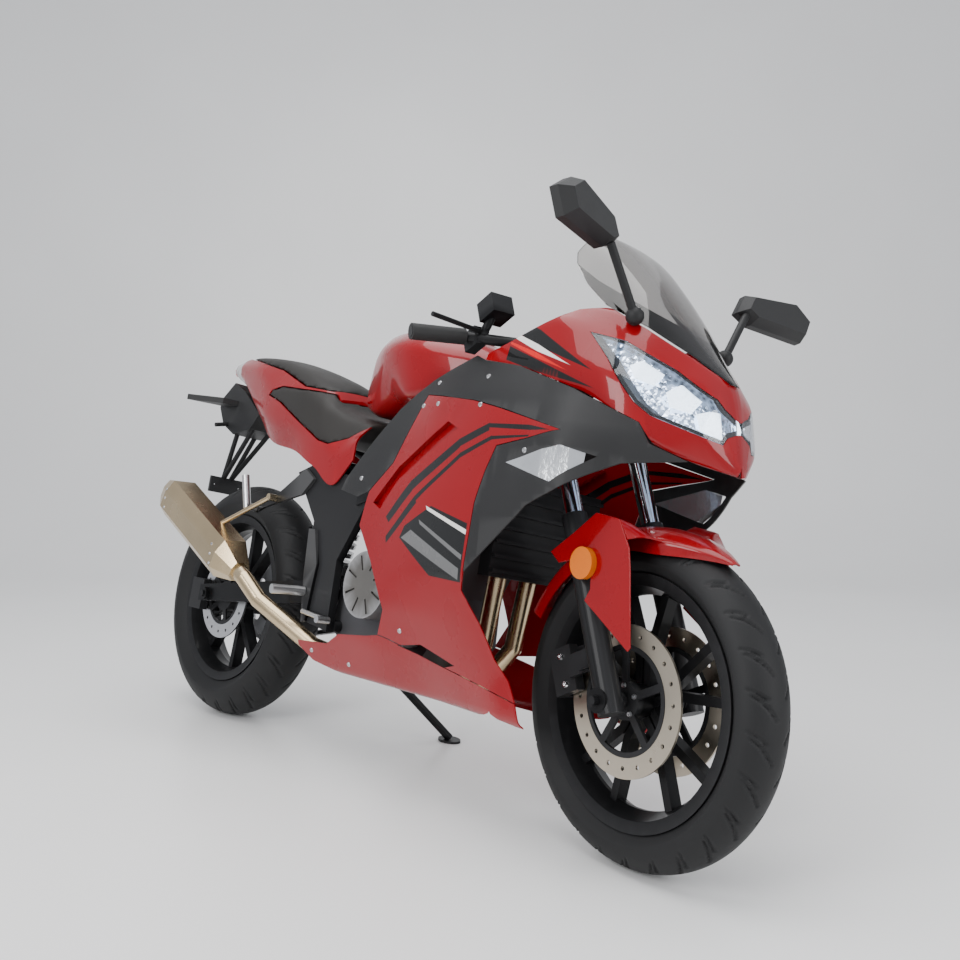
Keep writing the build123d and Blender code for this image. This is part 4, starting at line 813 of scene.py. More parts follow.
# %% Fairing stripes
BLACK, STRIPE_GREY = (0.008, 0.008, 0.008), (0.13, 0.13, 0.13)
WHITE, BRIGHT_RED = (0.75, 0.73, 0.70), (0.62, 0.008, 0.006)
RIDGE_BAND = (
    [(1312, 733), (1230, 748), (1120, 752), (1125, 738), (1235, 737)],
    [(1125, 753), (1040, 722), (1046, 706), (1128, 737)],
    [(1042, 723), (900, 636), (910, 615), (1048, 705)],
    [(905, 640), (822, 560), (836, 548), (914, 616)],
)
PIN_BAND = (
    [(1235, 729), (1135, 727), (1138, 719), (1235, 725)],
    [(1138, 728), (1050, 694), (1054, 684), (1142, 720)],
    [(1054, 696), (925, 605), (930, 594), (1056, 685)],
    [(928, 608), (830, 520), (834, 505), (936, 592)],
)
DECAL = (
    [(988, 588), (1105, 560), (1098, 448), (1000, 452), (884, 520), (900, 545)],
)
DECAL_GREYS = (
    [(950, 560), (1098, 500), (1097, 490), (955, 550)],
    [(925, 538), (1092, 474), (1090, 452), (890, 520)],
)
DECAL_WHITE = ([(970, 588), (1104, 548), (1103, 538), (975, 579)],)
fairing_paint = striped_paint("fairing_paint", (
    (BLACK, RIDGE_BAND), (BLACK, PIN_BAND), (BLACK, DECAL), (STRIPE_GREY, DECAL_GREYS),
    (WHITE, DECAL_WHITE),
))
print("fairing paint ready")

# %% [markdown]
# Only the right-hand panels are cut. The left ones are their mirror images, as on the real machine, so
# a correction to an outline reaches both sides.
# The pan is also hollowed for the front wheel's swing and for the exhaust that runs between its halves.

# %% Side fairings, side panels and belly pan
KEEL_PLAN = ((400, 75), (1050, 75), (1110, 144), (1180, 178), (1320, 178))
KEEL_LOW, KEEL_HIGH = 150, 262


def side_pieces(name, outline, material, slot, *cuts):
    """The right-hand panel cut from the side skin, and its mirror image on the left."""
    outer = prism(shrunk(outline, PANEL_GAP))
    right = carved(skin_mesh(side_half, PANEL_WALL), ("INTERSECT", outer), *cuts)
    left_mesh = mirrored(right)
    for side, mesh in (("right", right), ("left", left_mesh)):
        add_piece(f"{name}_{side}_shell", mesh, material, "chassis", bike, 1.0, (f"{name}_{side}",))
    print(name, len(right.polygons), "faces")


side_pieces(
    "side_fairing", fairing_outline, fairing_paint, "paint_red",
    ("DIFFERENCE", prism(vent_outline)), ("DIFFERENCE", prism(slot_outline)),
)
side_pieces(
    "side_panel", side_panel_outline, finishes["panel_charcoal"], "plastic_black",
    ("DIFFERENCE", prism(indicator_outline)),
)
side_pieces(
    "lower_cowl", pan_outline, finishes["paint_red"], "paint_red",
    ("DIFFERENCE", plan_block(KEEL_PLAN, KEEL_LOW, KEEL_HIGH)), ("DIFFERENCE", prism(slot_outline)),
)

# %% [markdown]
# Behind the fairing's ridge an air outlet is pressed into the panel. A hole alone would show the frame,
# so a floor lies a little under the skin, and thin walls lead down to it from the cut edge. Both are
# cut from the side skin at a greater depth, and so follow its curve.

# %% Air outlets
VENT_DEPTH, VENT_FLOOR_WALL = 12.0, 2.0
FLOOR_REACH, WALL_REACH, WALL_INSET = 3.0, 2.5, 0.5
tray = carved(
    skin_mesh(side_half, VENT_FLOOR_WALL, VENT_DEPTH),
    ("INTERSECT", prism(shrunk(vent_outline, -FLOOR_REACH))),
)
wall = carved(
    skin_mesh(side_half, VENT_DEPTH + 1.0, 1.0),
    ("INTERSECT", prism(shrunk(vent_outline, -WALL_REACH))),
    ("DIFFERENCE", prism(shrunk(vent_outline, WALL_INSET))),
)
for label, mesh in (("vent_floor", tray), ("vent_wall", wall)):
    for side, one in (("right", mesh), ("left", mirrored(mesh))):
        add_piece(f"{label}_{side}", one, finishes["paint_red"], "chassis", bike, 0.5, ())
print("air outlets", len(tray.polygons), "and", len(wall.polygons), "faces")

# %% [markdown]
# The nose is one moulding over both headlamps, open above where the screen stands. It is lofted from
# foot to foot over its ridge, because a half and its mirror image would show a seam down the middle.
# The last row is almost a point and closes the tip.

# %% Nose cowl
nose_rows = (
    (1040, [(0, 964), (60, 960), (150, 940), (190, 905), (196, 880), (190, 840), (60, 830)]),
    (1200, [(0, 1013), (60, 1010), (150, 1000), (186, 963), (200, 880), (196, 830), (60, 800)]),
    (1300, [(0, 1008), (60, 1005), (148, 988), (175, 935), (192, 870), (192, 815), (60, 770)]),
    (1370, [(0, 969), (50, 966), (122, 956), (150, 922), (182, 838), (176, 775), (60, 745)]),
    (1440, [(0, 921), (30, 918), (70, 905), (108, 872), (138, 790), (126, 728), (50, 722)]),
    (1495, [(0, 854), (12, 852), (26, 844), (62, 828), (88, 762), (66, 712), (25, 706)]),
    (1525, [(0, 736), (5, 735), (10, 732), (16, 726), (20, 718), (16, 706), (7, 704)]),
    (1527, [(0, 720), (0.4, 719.8), (0.8, 719.4), (1.2, 718.8), (1.4, 718), (1.2, 717), (0.6, 716.6)]),
)
nose_outline = (
    (1540, 700), (1540, 800), (1490, 869), (1440, 905), (1370, 950), (1300, 988), (1240, 985), (1200, 965),
    (1100, 925), (1040, 905), (1040, 890), (1150, 870), (1300, 820), (1410, 770), (1430, 735), (1480, 713),
)
lamp_outline = (
    (1513, 752), (1516, 790), (1495, 832), (1440, 873), (1360, 917), (1288, 934), (1340, 880), (1400, 803),
    (1425, 783),
)
crown_plan = ((1180, 140), (1290, 138), (1370, 108), (1440, 54), (1470, 12))
CROWN_LOW, CROWN_HIGH = 860, 1060
NOSE_SPACING = 8.0
NOSE_BLACK = (
    [(1450, 778), (1316, 858), (1180, 940), (1100, 975), (1100, 938), (1180, 908)],
    [(1450, 774), (1180, 884), (1100, 915), (1100, 880), (1180, 860)],
)
NOSE_WHITE = ([(1450, 776), (1180, 912), (1100, 945), (1100, 926), (1180, 898)],)
NOSE_RED = ([(1436, 777), (1180, 896), (1100, 924), (1100, 912), (1180, 885)],)
nose_paint = striped_paint("nose_paint", (
    (BLACK, NOSE_BLACK), (WHITE, NOSE_WHITE), (BRIGHT_RED, NOSE_RED),
))
nose = carved(
    skin_mesh(whole_sections(nose_rows, NOSE_SPACING, CORNER_SHARE), PANEL_WALL),
    ("INTERSECT", prism(nose_outline)), ("DIFFERENCE", prism(lamp_outline)),
    ("DIFFERENCE", plan_block(crown_plan, CROWN_LOW, CROWN_HIGH)),
)
add_piece("nose_shell", nose, nose_paint, "chassis", bike, 1.0, ("nose_cowl",))
print("nose", len(nose.polygons), "faces")

# %% [markdown]
# The screen is one bubble of smoked plastic with a black band along its foot, which hides the screws
# and the cowl stay on the real bike. A painted edge inside clear plastic is hard to bake, so the band
# is a thin skin of its own, just under the screen's inner face.

# %% Screen
SCREEN_WALL, SCREEN_SHARE, BAND_WALL, BAND_DEPTH = 3.0, 0.4, 1.5, 3.2
screen_rows = (
    (1190, [(0, 1178), (70, 1174), (120, 1150), (146, 1095), (150, 1040), (150, 860)]),
    (1240, [(0, 1148), (70, 1144), (122, 1110), (152, 1050), (156, 1000), (156, 860)]),
    (1300, [(0, 1092), (60, 1088), (112, 1055), (146, 1000), (150, 970), (150, 860)]),
    (1370, [(0, 1015), (50, 1010), (92, 985), (118, 955), (124, 940), (124, 860)]),
    (1440, [(0, 930), (26, 927), (48, 916), (62, 908), (68, 900), (70, 860)]),
    (1492, [(0, 872), (6, 871), (10, 870), (12, 868), (13, 866), (14, 860)]),
)
screen_outline = (
    (1494, 866), (1494, 900), (1400, 1010), (1300, 1120), (1222, 1170), (1203, 1156), (1190, 1110),
    (1200, 1085), (1242, 1036), (1292, 992), (1372, 952), (1442, 907),
)
clear_outline = (
    (1600, 905), (1600, 1300), (1100, 1300), (1100, 1150), (1262, 1042), (1320, 1010), (1400, 966),
    (1450, 925),
)
screen_sections = whole_sections(screen_rows, NOSE_SPACING, SCREEN_SHARE)
screen = carved(skin_mesh(screen_sections, SCREEN_WALL), ("INTERSECT", prism(screen_outline)))
band = carved(
    skin_mesh(screen_sections, BAND_WALL, BAND_DEPTH),
    ("INTERSECT", prism(screen_outline)), ("DIFFERENCE", prism(clear_outline)),
)
smoke = finishes["screen_smoke"]
add_piece("screen_shell", screen, smoke, "chassis", bike, 0.8, ("windscreen",))
add_piece("screen_band", band, finishes["gloss_black"], "chassis", bike, 0.0, ())
print("screen", len(screen.polygons), "faces, band", len(band.polygons))

# %% [markdown]
# A multi-surface reflector is chromed plastic, broken into many small facets. Modelling each facet
# would cost thousands of faces behind a lens, so a Voronoi pattern tilts the normals instead. The same
# pattern paints a faint glow onto the bowl, brighter towards each facet's edge: a painted reflection of
# the lit lamp in the chrome. The lit elements glow through finer cells, with a strength that falls
# towards each cell's edge.

# %% Lamp finishes
LAMP_LIGHT = (0.75, 0.87, 1.0)
LAMP_STRENGTH, CELL_SCALE = 5.0, 400.0
FACET_SCALE, FACET_TILT, FACET_HEIGHT = 95.0, 0.9, 0.006
MIRROR_COLOUR, BOWL_PAINTED_GLOW, MIRROR_ROUGHNESS = (0.75, 0.82, 0.92, 1), (0.55, 0.72, 1.0, 1), 0.10


def reflector_finish():
    """Chrome broken into small facets, as in a multi-surface reflector, with a painted glow for the lit lamp's
    reflection.
    """
    material = bpy.data.materials.new("lamp_reflector")
    material.use_nodes = True
    tree = material.node_tree
    shader = tree.nodes["Principled BSDF"]
    place = tree.nodes.new("ShaderNodeTexCoord")
    facets = add_nodes(tree, "ShaderNodeTexVoronoi", Scale=FACET_SCALE)
    bump = add_nodes(tree, "ShaderNodeBump", Strength=FACET_TILT, Distance=FACET_HEIGHT)
    tree.links.new(place.outputs["Object"], facets.inputs["Vector"])
    tree.links.new(facets.outputs["Distance"], bump.inputs["Height"])
    tree.links.new(bump.outputs["Normal"], shader.inputs["Normal"])
    # Painted reflection: the facets glow with the lamp's light, brighter towards each facet's edge.
    tree.links.new(facets.outputs["Distance"], shader.inputs["Emission Strength"])
    shader.inputs["Emission Color"].default_value = BOWL_PAINTED_GLOW
    shader.inputs["Base Color"].default_value = MIRROR_COLOUR
    shader.inputs["Metallic"].default_value = 1.0
    shader.inputs["Roughness"].default_value = MIRROR_ROUGHNESS
    return material


def glow_finish(name, colour, strength):
    """A lit element with a slightly uneven surface."""
    material = bpy.data.materials.new(name)
    material.use_nodes = True
    tree = material.node_tree
    shader = tree.nodes["Principled BSDF"]
    place = tree.nodes.new("ShaderNodeTexCoord")
    cells = add_nodes(tree, "ShaderNodeTexVoronoi", Scale=CELL_SCALE)
    level = add_nodes(tree, "ShaderNodeMapRange", To_Min=strength, To_Max=strength * 0.5)
    tree.links.new(place.outputs["Object"], cells.inputs["Vector"])
    tree.links.new(cells.outputs["Distance"], level.inputs["Value"])
    tree.links.new(level.outputs[0], shader.inputs["Emission Strength"])
    shader.inputs["Emission Color"].default_value = (*colour, 1)
    return material


reflector, lamp_glow = reflector_finish(), glow_finish("lamp_glow", LAMP_LIGHT, LAMP_STRENGTH)
print("lamp finishes ready")

# %% [markdown]
# Each headlamp is a clear lens that carries on the nose's surface. Behind it lie a black bezel around
# the edge, the reflector's bowl and three lit elements. All of them are cut from the nose's own half at
# growing depths, so the gaps between them stay even around the curve. That half leaves out the last
# row, because an inner wall can't be set off from so small a tip.

# %% Headlamps
LENS_WALL, LAMP_GAP, BEZEL_DEPTH, BEZEL_WALL, BEZEL_BAND = 3.0, 0.8, 3.2, 22.0, 6.0
BOWL_DEPTH, BOWL_WALL, BOWL_REACH = 24.0, 2.0, 4.0
GLOW_DEPTH, GLOW_WALL = 18.5, 5.0
LAMP_INNER_Y, BOWL_INNER_Y, GLOW_INNER_Y = -9, -10, -26
nose_half = half_sections(nose_rows[:-1], NOSE_SPACING, CORNER_SHARE)
lens_cut = ("INTERSECT", prism(shrunk(lamp_outline, LAMP_GAP), -HALF_REACH, LAMP_INNER_Y))
bezel_cut = ("INTERSECT", prism(shrunk(lamp_outline, LAMP_GAP), -HALF_REACH, LAMP_INNER_Y))
bezel_hole = ("DIFFERENCE", prism(shrunk(lamp_outline, BEZEL_BAND), -HALF_REACH - 10, 0))
bowl_cut = ("INTERSECT", prism(shrunk(lamp_outline, -BOWL_REACH), -HALF_REACH, BOWL_INNER_Y))
lens_right = carved(skin_mesh(nose_half, LENS_WALL), lens_cut)
bowl_right = carved(skin_mesh(nose_half, BOWL_WALL, BOWL_DEPTH), bowl_cut)
bezel_right = carved(skin_mesh(nose_half, BEZEL_WALL, BEZEL_DEPTH), bezel_cut, bezel_hole)
glow_outlines = (
    ((1500, 762), (1503, 790), (1488, 815), (1470, 800), (1480, 772)),
    ((1462, 800), (1468, 826), (1440, 850), (1425, 832), (1436, 806)),
    ((1405, 842), (1412, 866), (1380, 886), (1366, 874), (1380, 850)),
)
lamp_pieces = [
    ("lamp_lens", lens_right, finishes["lens_clear"], 0.6, "lens_clear"),
    ("lamp_bowl", bowl_right, reflector, 0.0, "chrome"),
    ("lamp_bezel", bezel_right, finishes["plastic_black"], 0.5, "plastic_black"),
]
for number, outline in enumerate(glow_outlines):
    glow_cut = ("INTERSECT", prism(outline, -HALF_REACH, GLOW_INNER_Y))
    lit = carved(skin_mesh(nose_half, GLOW_WALL, GLOW_DEPTH), glow_cut)
    lamp_pieces.append((f"lamp_glow_{number}", lit, lamp_glow, 1.0, "lens_clear"))
for name, mesh, material, bevel, slot in lamp_pieces:
    replaced = ("headlamps",) if name == "lamp_lens" else ()
    left_mesh = mirrored(mesh)
    add_piece(f"{name}_right", mesh, material, "chassis", bike, bevel, replaced)
    add_piece(f"{name}_left", left_mesh, material, "chassis", bike, bevel, ())
print(len(lamp_pieces), "pieces in each headlamp")

# %% [markdown]
# The tank is pressed from one sheet: wide above, drawn in where the knees grip it. It is a closed form
# through seven rows, with a larger share of each corner rounded than on the panels, because pressed
# steel bends more softly than moulded plastic. The cap is a plain turned disc.

# %% Tank
TANK_SHARE, CAP_RADIUS, CAP_TOP_RADIUS, CAP_HEIGHT, CAP_PLACE = 0.34, 42, 38, 12, (800, 0, 1003)
tank_rows = (
    (488, [(40, 955), (58, 905), (60, 865), (54, 836), (38, 826)]),
    (540, [(60, 1000), (92, 950), (86, 870), (74, 822), (50, 812)]),
    (650, [(90, 1010), (150, 955), (138, 900), (112, 850), (90, 830)]),
    (760, [(100, 1000), (170, 950), (160, 890), (146, 836), (120, 828)]),
    (870, [(90, 975), (138, 932), (138, 890), (130, 862), (114, 850)]),
    (940, [(60, 948), (94, 922), (96, 902), (90, 886), (78, 876)]),
    (984, [(34, 930), (54, 918), (56, 908), (50, 900), (40, 894)]),
)


def closed_form(rows, spacing, share):
    """Smooth closed body through the rows."""
    return to_mesh(grid_mesh(whole_sections(rows, spacing, share), closed=True), "form")


tank = closed_form(tank_rows, ROW_SPACING, TANK_SHARE)
add_piece("tank_shell", tank, finishes["paint_red"], "chassis", bike, 0.0, ("fuel_tank",), 60)
cap = bmesh.new()
bmesh.ops.create_cone(
    cap, cap_ends=True, segments=48, radius1=CAP_RADIUS, radius2=CAP_TOP_RADIUS, depth=CAP_HEIGHT,
)
cap_mesh = to_mesh(cap, "fuel_cap")
cap_mesh.transform(Matrix.Translation(CAP_PLACE))
add_piece("fuel_cap", cap_mesh, finishes["alloy"], "chassis", bike, 1.5, ())
print("tank", len(tank.polygons), "faces")

# %% [markdown]
# The tail is a hollow cowl with both seats let into it. Its skin is cut along the seats' edges, but the
# riser between them is kept: the rider's seat is cut out only outside a block that stands for it.

# %% Tail
TAIL_SHARE, TAIL_WALL, TIP_GREY = 0.3, 4.0, (0.42, 0.42, 0.42)
RISER_LOW, RISER_HIGH = Vector((80, -84, 700)), Vector((414, 84, 1000))
tail_rows = (
    (-196, [(0, 990), (28, 988), (44, 975), (48, 955), (30, 940)]),
    (-120, [(0, 1000), (46, 994), (66, 965), (64, 930), (40, 908)]),
    (20, [(0, 992), (74, 982), (98, 940), (94, 850), (60, 806)]),
    (140, [(0, 974), (88, 962), (118, 890), (118, 800), (90, 742)]),
    (300, [(0, 932), (92, 915), (130, 866), (136, 780), (118, 712)]),
    (392, [(0, 895), (84, 874), (126, 838), (140, 760), (136, 682)]),
    (430, [(0, 838), (84, 834), (118, 822), (142, 750), (138, 668)]),
    (515, [(0, 806), (70, 803), (108, 792), (142, 710), (139, 628)]),
    (580, [(0, 790), (60, 788), (98, 781), (138, 740), (138, 690)]),
)
rider_seat_edge = (
    (124, 862), (200, 838), (337, 775), (425, 735), (470, 726), (534, 743), (575, 768), (590, 790),
    (590, 1100), (414, 1100), (414, 862), (294, 872), (196, 884), (140, 876),
)
passenger_seat_edge = (
    (-150, 1100), (-140, 996), (0, 966), (150, 932), (300, 878), (388, 868), (410, 880), (410, 1100),
)


def box_mesh(low, high):
    """Block between two corners."""
    build = bmesh.new()
    bmesh.ops.create_cube(build, size=1.0)
    for vert in build.verts:
        vert.co = Vector((
            low[0] if vert.co.x < 0 else high[0],
            low[1] if vert.co.y < 0 else high[1],
            low[2] if vert.co.z < 0 else high[2],
        ))
    return to_mesh(build, "box")


tail = carved(
    skin_mesh(whole_sections(tail_rows, ROW_SPACING, TAIL_SHARE), TAIL_WALL),
    ("DIFFERENCE", prism(passenger_seat_edge)),
    ("DIFFERENCE", carved(prism(rider_seat_edge), ("DIFFERENCE", box_mesh(RISER_LOW, RISER_HIGH)))),
)
tail_paint = striped_paint("tail_paint", (
    (TIP_GREY, ([(-210, 940), (-210, 1000), (-150, 996), (-135, 920)],)),
))
add_piece("tail_shell", tail, tail_paint, "chassis", bike, 0.8, ("tail_cowl",))
print("tail", len(tail.polygons), "faces")

# %% [markdown]
# A seat is foam under a stretched cover, a little full between its seams. A flat top would look like
# board, and a modelled bulge seldom looks filled. So each seat is cut from the tail's own form, made
# into an even mesh, and blown up as cloth with pressure for twenty frames, while its foot is held and
# no point may move further than the cap.

# %% Seats
SEAT_REMESH, SEAT_CAP, SEAT_GAP = 6.0, 6.0, 1.5
SEAT_PRESSURE, SEAT_FRAMES, HELD_SHARE, LOOSE_GRIP = 4.0, 20, 0.35, 0.55


def cushion(name, mesh, replaced):
    """Seat filled from inside: cloth under pressure, held along its lower edge and kept near its form."""
    mesh.transform(bike)
    obj = bpy.data.objects.new(name, mesh)
    scene.collection.objects.link(obj)
    remesh = obj.modifiers.new("remesh", "REMESH")
    remesh.mode = "VOXEL"
    remesh.voxel_size = SEAT_REMESH * MM
    bpy.context.view_layer.update()
    dense = bpy.data.meshes.new_from_object(obj.evaluated_get(bpy.context.evaluated_depsgraph_get()))
    obj.modifiers.clear()
    obj.data = dense
    rest = [v.co.copy() for v in dense.vertices]
    held = obj.vertex_groups.new(name="held")
    up_way = bike.to_3x3().col[2].normalized()
    heights = [v.dot(up_way) for v in rest]
    low, high = min(heights), max(heights)
    for index, height in enumerate(heights):
        grip = 1.0 if height < low + HELD_SHARE * (high - low) else LOOSE_GRIP
        held.add([index], grip, "REPLACE")
    cloth = obj.modifiers.new("cloth", "CLOTH")
    cloth.settings.use_pressure = True
    cloth.settings.uniform_pressure_force = SEAT_PRESSURE
    cloth.settings.effector_weights.gravity = 0.0
    cloth.settings.vertex_group_mass = "held"
    cloth.settings.quality = 4
    cloth.point_cache.frame_start = 1
    cloth.point_cache.frame_end = SEAT_FRAMES
    for number in range(1, SEAT_FRAMES + 1):
        scene.frame_set(number)
    filled = bpy.data.meshes.new_from_object(obj.evaluated_get(bpy.context.evaluated_depsgraph_get()))
    obj.modifiers.clear()
    obj.vertex_groups.clear()
    for vert, place in zip(filled.vertices, rest):
        move = vert.co - place
        if move.length > SEAT_CAP * MM:
            vert.co = place + move.normalized() * SEAT_CAP * MM
    obj.data = filled
    scene.frame_set(1)
    obj.data.polygons.foreach_set("use_smooth", [True] * len(obj.data.polygons))
    obj.data.materials.clear()
    obj.data.materials.append(finishes["leather_black"])
    smooth = obj.modifiers.new("smooth", "SMOOTH")
    smooth.factor = 0.5
    smooth.iterations = 4
    finer = obj.modifiers.new("finer", "SUBSURF")
    finer.levels = finer.render_levels = 1
    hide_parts(replaced)
    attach(obj, "chassis")
    return obj


form = closed_form(tail_rows, ROW_SPACING, TAIL_SHARE)
riser_room = box_mesh(RISER_LOW + Vector((0, -1, 0)), RISER_HIGH + Vector((1, 1, 0)))
rider_block = carved(prism(shrunk(rider_seat_edge, SEAT_GAP)), ("DIFFERENCE", riser_room))
passenger = carved(form.copy(), ("INTERSECT", prism(shrunk(passenger_seat_edge, SEAT_GAP))))
rider = carved(form.copy(), ("INTERSECT", rider_block))
for name, mesh, node in (
    ("passenger_cushion", passenger, "passenger_seat"), ("rider_cushion", rider, "rider_seat"),
):
    seat = cushion(name, mesh, node)
    print(name, len(seat.data.polygons), "faces")

# %% [markdown]
# The front fender is an arch over the tyre, with a blade down the outside of each fork leg and a shelf
# between them. The arch is swept about the axle, and its front narrows along a quarter of a sine wave,
# so it ends round. All of it is drawn about the front axle in the turned fork's frame, so that it
# follows the steering.

# %% Front fender
axle = fork @ Matrix.Translation((FORK_AXLE_LEAD, 0, 0))
FENDER_WALL, BLADE_Y, BLADE_WALL = 3.0, 124.5, 3.0
ARCH_RADIUS, ARCH_START, ARCH_END, ARCH_STEPS = 313.0, 32.0, 130.0, 60
ARCH_SHARE, ARCH_CORNER_POINTS, TIP_STEPS, TIP_SHARE = 0.3, 5, 18, 0.12
SHELF_INNER_Y, SHELF_POINTS, SHELF_STEPS, SHELF_RISE = 72, 18, 6, 5
arch_profile = ((72, -50), (72, -22), (40, -5), (0, 0))
blade_outline = (
    (-46, 290), (30, 302), (90, 314), (142, 280), (150, 225), (142, 188), (106, 62), (98, 58), (18, 174),
    (38, 188), (46, 212), (26, 250), (-30, 262),
)
arch_edge = ((40, 288), (99, 273), (145, 252), (176, 231))
blade_edge = ((30, 300), (90, 311), (140, 279), (148, 240))


def arch_sections():
    """Cross-sections of the arch from its front tip to its tail."""
    sections = []
    for step in range(ARCH_STEPS + 1):
        turn = radians(ARCH_START + (ARCH_END - ARCH_START) * step / ARCH_STEPS)
        share = TIP_SHARE + (1 - TIP_SHARE) * sin(min(1.0, step / TIP_STEPS) * pi / 2)
        half = [(y * share, drop * share) for y, drop in arch_profile]
        section = []
        for y, drop in [*half, *[(-y, drop) for y, drop in half[-2::-1]]]:
            reach = ARCH_RADIUS + drop
            section.append(Vector((cos(turn) * reach, y, sin(turn) * reach)))
        sections.append(rounded(section, ARCH_SHARE, ARCH_CORNER_POINTS))
    return sections


def even_line(points, count):
    """The polyline as this many evenly spaced points."""
    points = [Vector(p) for p in points]
    lengths = [(b - a).length for a, b in zip(points, points[1:])]
    total = sum(lengths)
    line = []
    for step in range(count):
        left_over = total * step / (count - 1)
        index = 0
        while index < len(lengths) - 1 and left_over > lengths[index]:
            left_over -= lengths[index]
            index += 1
        line.append(points[index].lerp(points[index + 1], left_over / lengths[index]))
    return line


def shelf_rows(side):
    """Lines across the gap between the arch's edge and the blade, rising a little between them."""
    inner = even_line([(x, side * SHELF_INNER_Y, z) for x, z in arch_edge], SHELF_POINTS)
    outer = even_line([(x, side * (BLADE_Y + 1), z) for x, z in blade_edge], SHELF_POINTS)
    rows = []
    for step in range(SHELF_STEPS + 1):
        share = step / SHELF_STEPS
        rise = Vector((0, 0, SHELF_RISE * sin(pi * share)))
        rows.append([near.lerp(far, share) + rise for near, far in zip(inner, outer)])
    return rows


red, arch = finishes["paint_red"], skin_mesh(arch_sections(), FENDER_WALL)
add_piece("fender_arch", arch, red, "steering", axle, 0.8, ("front_fender",))
for side in (-1, 1):
    low_y, high_y = sorted((side * BLADE_Y, side * (BLADE_Y + BLADE_WALL)))
    blade = prism(blade_outline, low_y, high_y)
    shelf = skin_mesh(shelf_rows(side), FENDER_WALL)
    add_piece(f"fender_blade_{side}", blade, red, "steering", axle, 1.2, ())
    add_piece(f"fender_shelf_{side}", shelf, red, "steering", axle, 0.5, ())
print("fender arch", len(arch.polygons), "faces")

# %% [markdown]
# A road tyre's crown is nearly an ellipse, with long slanted grooves that run out before the edge. The
# ring is turned from its profile in fine steps, and the grooves are pressed in by moving the points
# that lie in one towards the axle. A Boolean cut for each groove would leave slivers in the crown,
# and moved points keep its even quads. Each groove's row gives its start and end across the crown, its
# lead along it as a share of the pitch, and its slant.

# %% Tyres
GROOVES = ((0.16, 0.86, 0.0, 62.0), (0.42, 0.92, 0.48, 40.0))
GROOVE_DEPTH, GROOVE_HALF_WIDTH, GROOVE_FLANK, GROOVE_END, GROOVE_BEND = 3.6, 3.4, 1.4, 0.06, 0.8
TYRE_STEPS, CROWN_STEPS, PITCHES = 720, 44, 26
CROWN_SHARE, TREAD_REACH = 0.88, 0.93
BEAD_RADIUS, BEAD_INSET, BEAD_RISE, BEAD_BEVEL = 216.3, 5.3, 10, 5


def groove_depth(arc, across, pitch):
    """Depth of the tread at this arc length (mm) and place across the crown (-1 to 1)."""
    deep = 0.0
    reach = abs(across)
    hand = 0.0 if across > 0 else 0.5
    for start, end, lead, slant in GROOVES:
        if start < reach < end:
            middle = (lead + hand) * pitch + slant * (reach - start) ** GROOVE_BEND
            away = abs((arc - middle + pitch / 2) % pitch - pitch / 2)
            ends = min((reach - start) / GROOVE_END, (end - reach) / GROOVE_END, 1.0)
            flank = max(0.0, min(1.0, (GROOVE_HALF_WIDTH - away) / GROOVE_FLANK))
            deep = max(deep, ends * flank)
    return GROOVE_DEPTH * deep


def tyre_mesh(radius, width, rim_width):
    """Closed ring with a grooved elliptic crown."""
    half, seat = width / 2, rim_width / 2 - BEAD_INSET
    profile = []
    for step in range(CROWN_STEPS + 1):
        turn = pi * step / CROWN_STEPS
        profile.append((radius - CROWN_SHARE * half * (1 - sin(turn)), -half * cos(turn), -cos(turn)))
    profile += [
        (BEAD_RADIUS + BEAD_RISE, seat, None), (BEAD_RADIUS, seat - BEAD_BEVEL, None),
        (BEAD_RADIUS, BEAD_BEVEL - seat, None), (BEAD_RADIUS + BEAD_RISE, -seat, None),
    ]
    pitch = 2 * pi * radius / PITCHES
    build = bmesh.new()
    rings = []
    for number in range(TYRE_STEPS):
        turn = 2 * pi * number / TYRE_STEPS
        ring = []
        for r, y, across in profile:
            if across is not None and abs(across) < TREAD_REACH:
                r -= groove_depth(turn * radius, across, pitch)
            ring.append(build.verts.new((r * cos(turn), y, r * sin(turn))))
        rings.append(ring)
    for near, far in zip(rings, rings[1:] + rings[:1]):
        for i in range(len(profile)):
            j = (i + 1) % len(profile)
            build.faces.new((near[i], near[j], far[j], far[i]))
    bmesh.ops.recalc_face_normals(build, faces=build.faces)
    return to_mesh(build, "tyre")


rear_wheel = bike @ Matrix.Translation((0, 0, REAR_TYRE_RADIUS))
for end, radius, width, rim_width, place in (
    ("front", FRONT_TYRE_RADIUS, 110.0, 84.0, axle), ("rear", REAR_TYRE_RADIUS, 140.0, 104.0, rear_wheel),
):
    mesh = tyre_mesh(radius, width, rim_width)
    name, replaced = f"{end}_tyre_tread", (f"{end}_tyre",)
    add_piece(name, mesh, finishes["tyre"], f"{end}_wheel", place, 0.0, replaced, 50)
    print(end, "tyre", len(mesh.polygons), "faces")

# %% [markdown]
# Screws and rivets repeat. One Geometry Nodes group puts a tapered round head with a hexagonal recess
# on every point of a small mesh and turns it to the direction stored there. Its heads are then made
# into one plain mesh, so one edit to the group changes them all, and the export needs no instances.

# %% A group of nodes for screw heads
HEAD_INPUTS = (("Radius", 5.0 * MM), ("Height", 2.6 * MM))
HEAD_SIDES, RECESS_SIDES, HEAD_SEED, FULL_TURN = 28, 6, 7, 6.28
TOP_SHARE, RECESS_SHARE, RECESS_DEPTH = 0.78, 0.42, 1.2


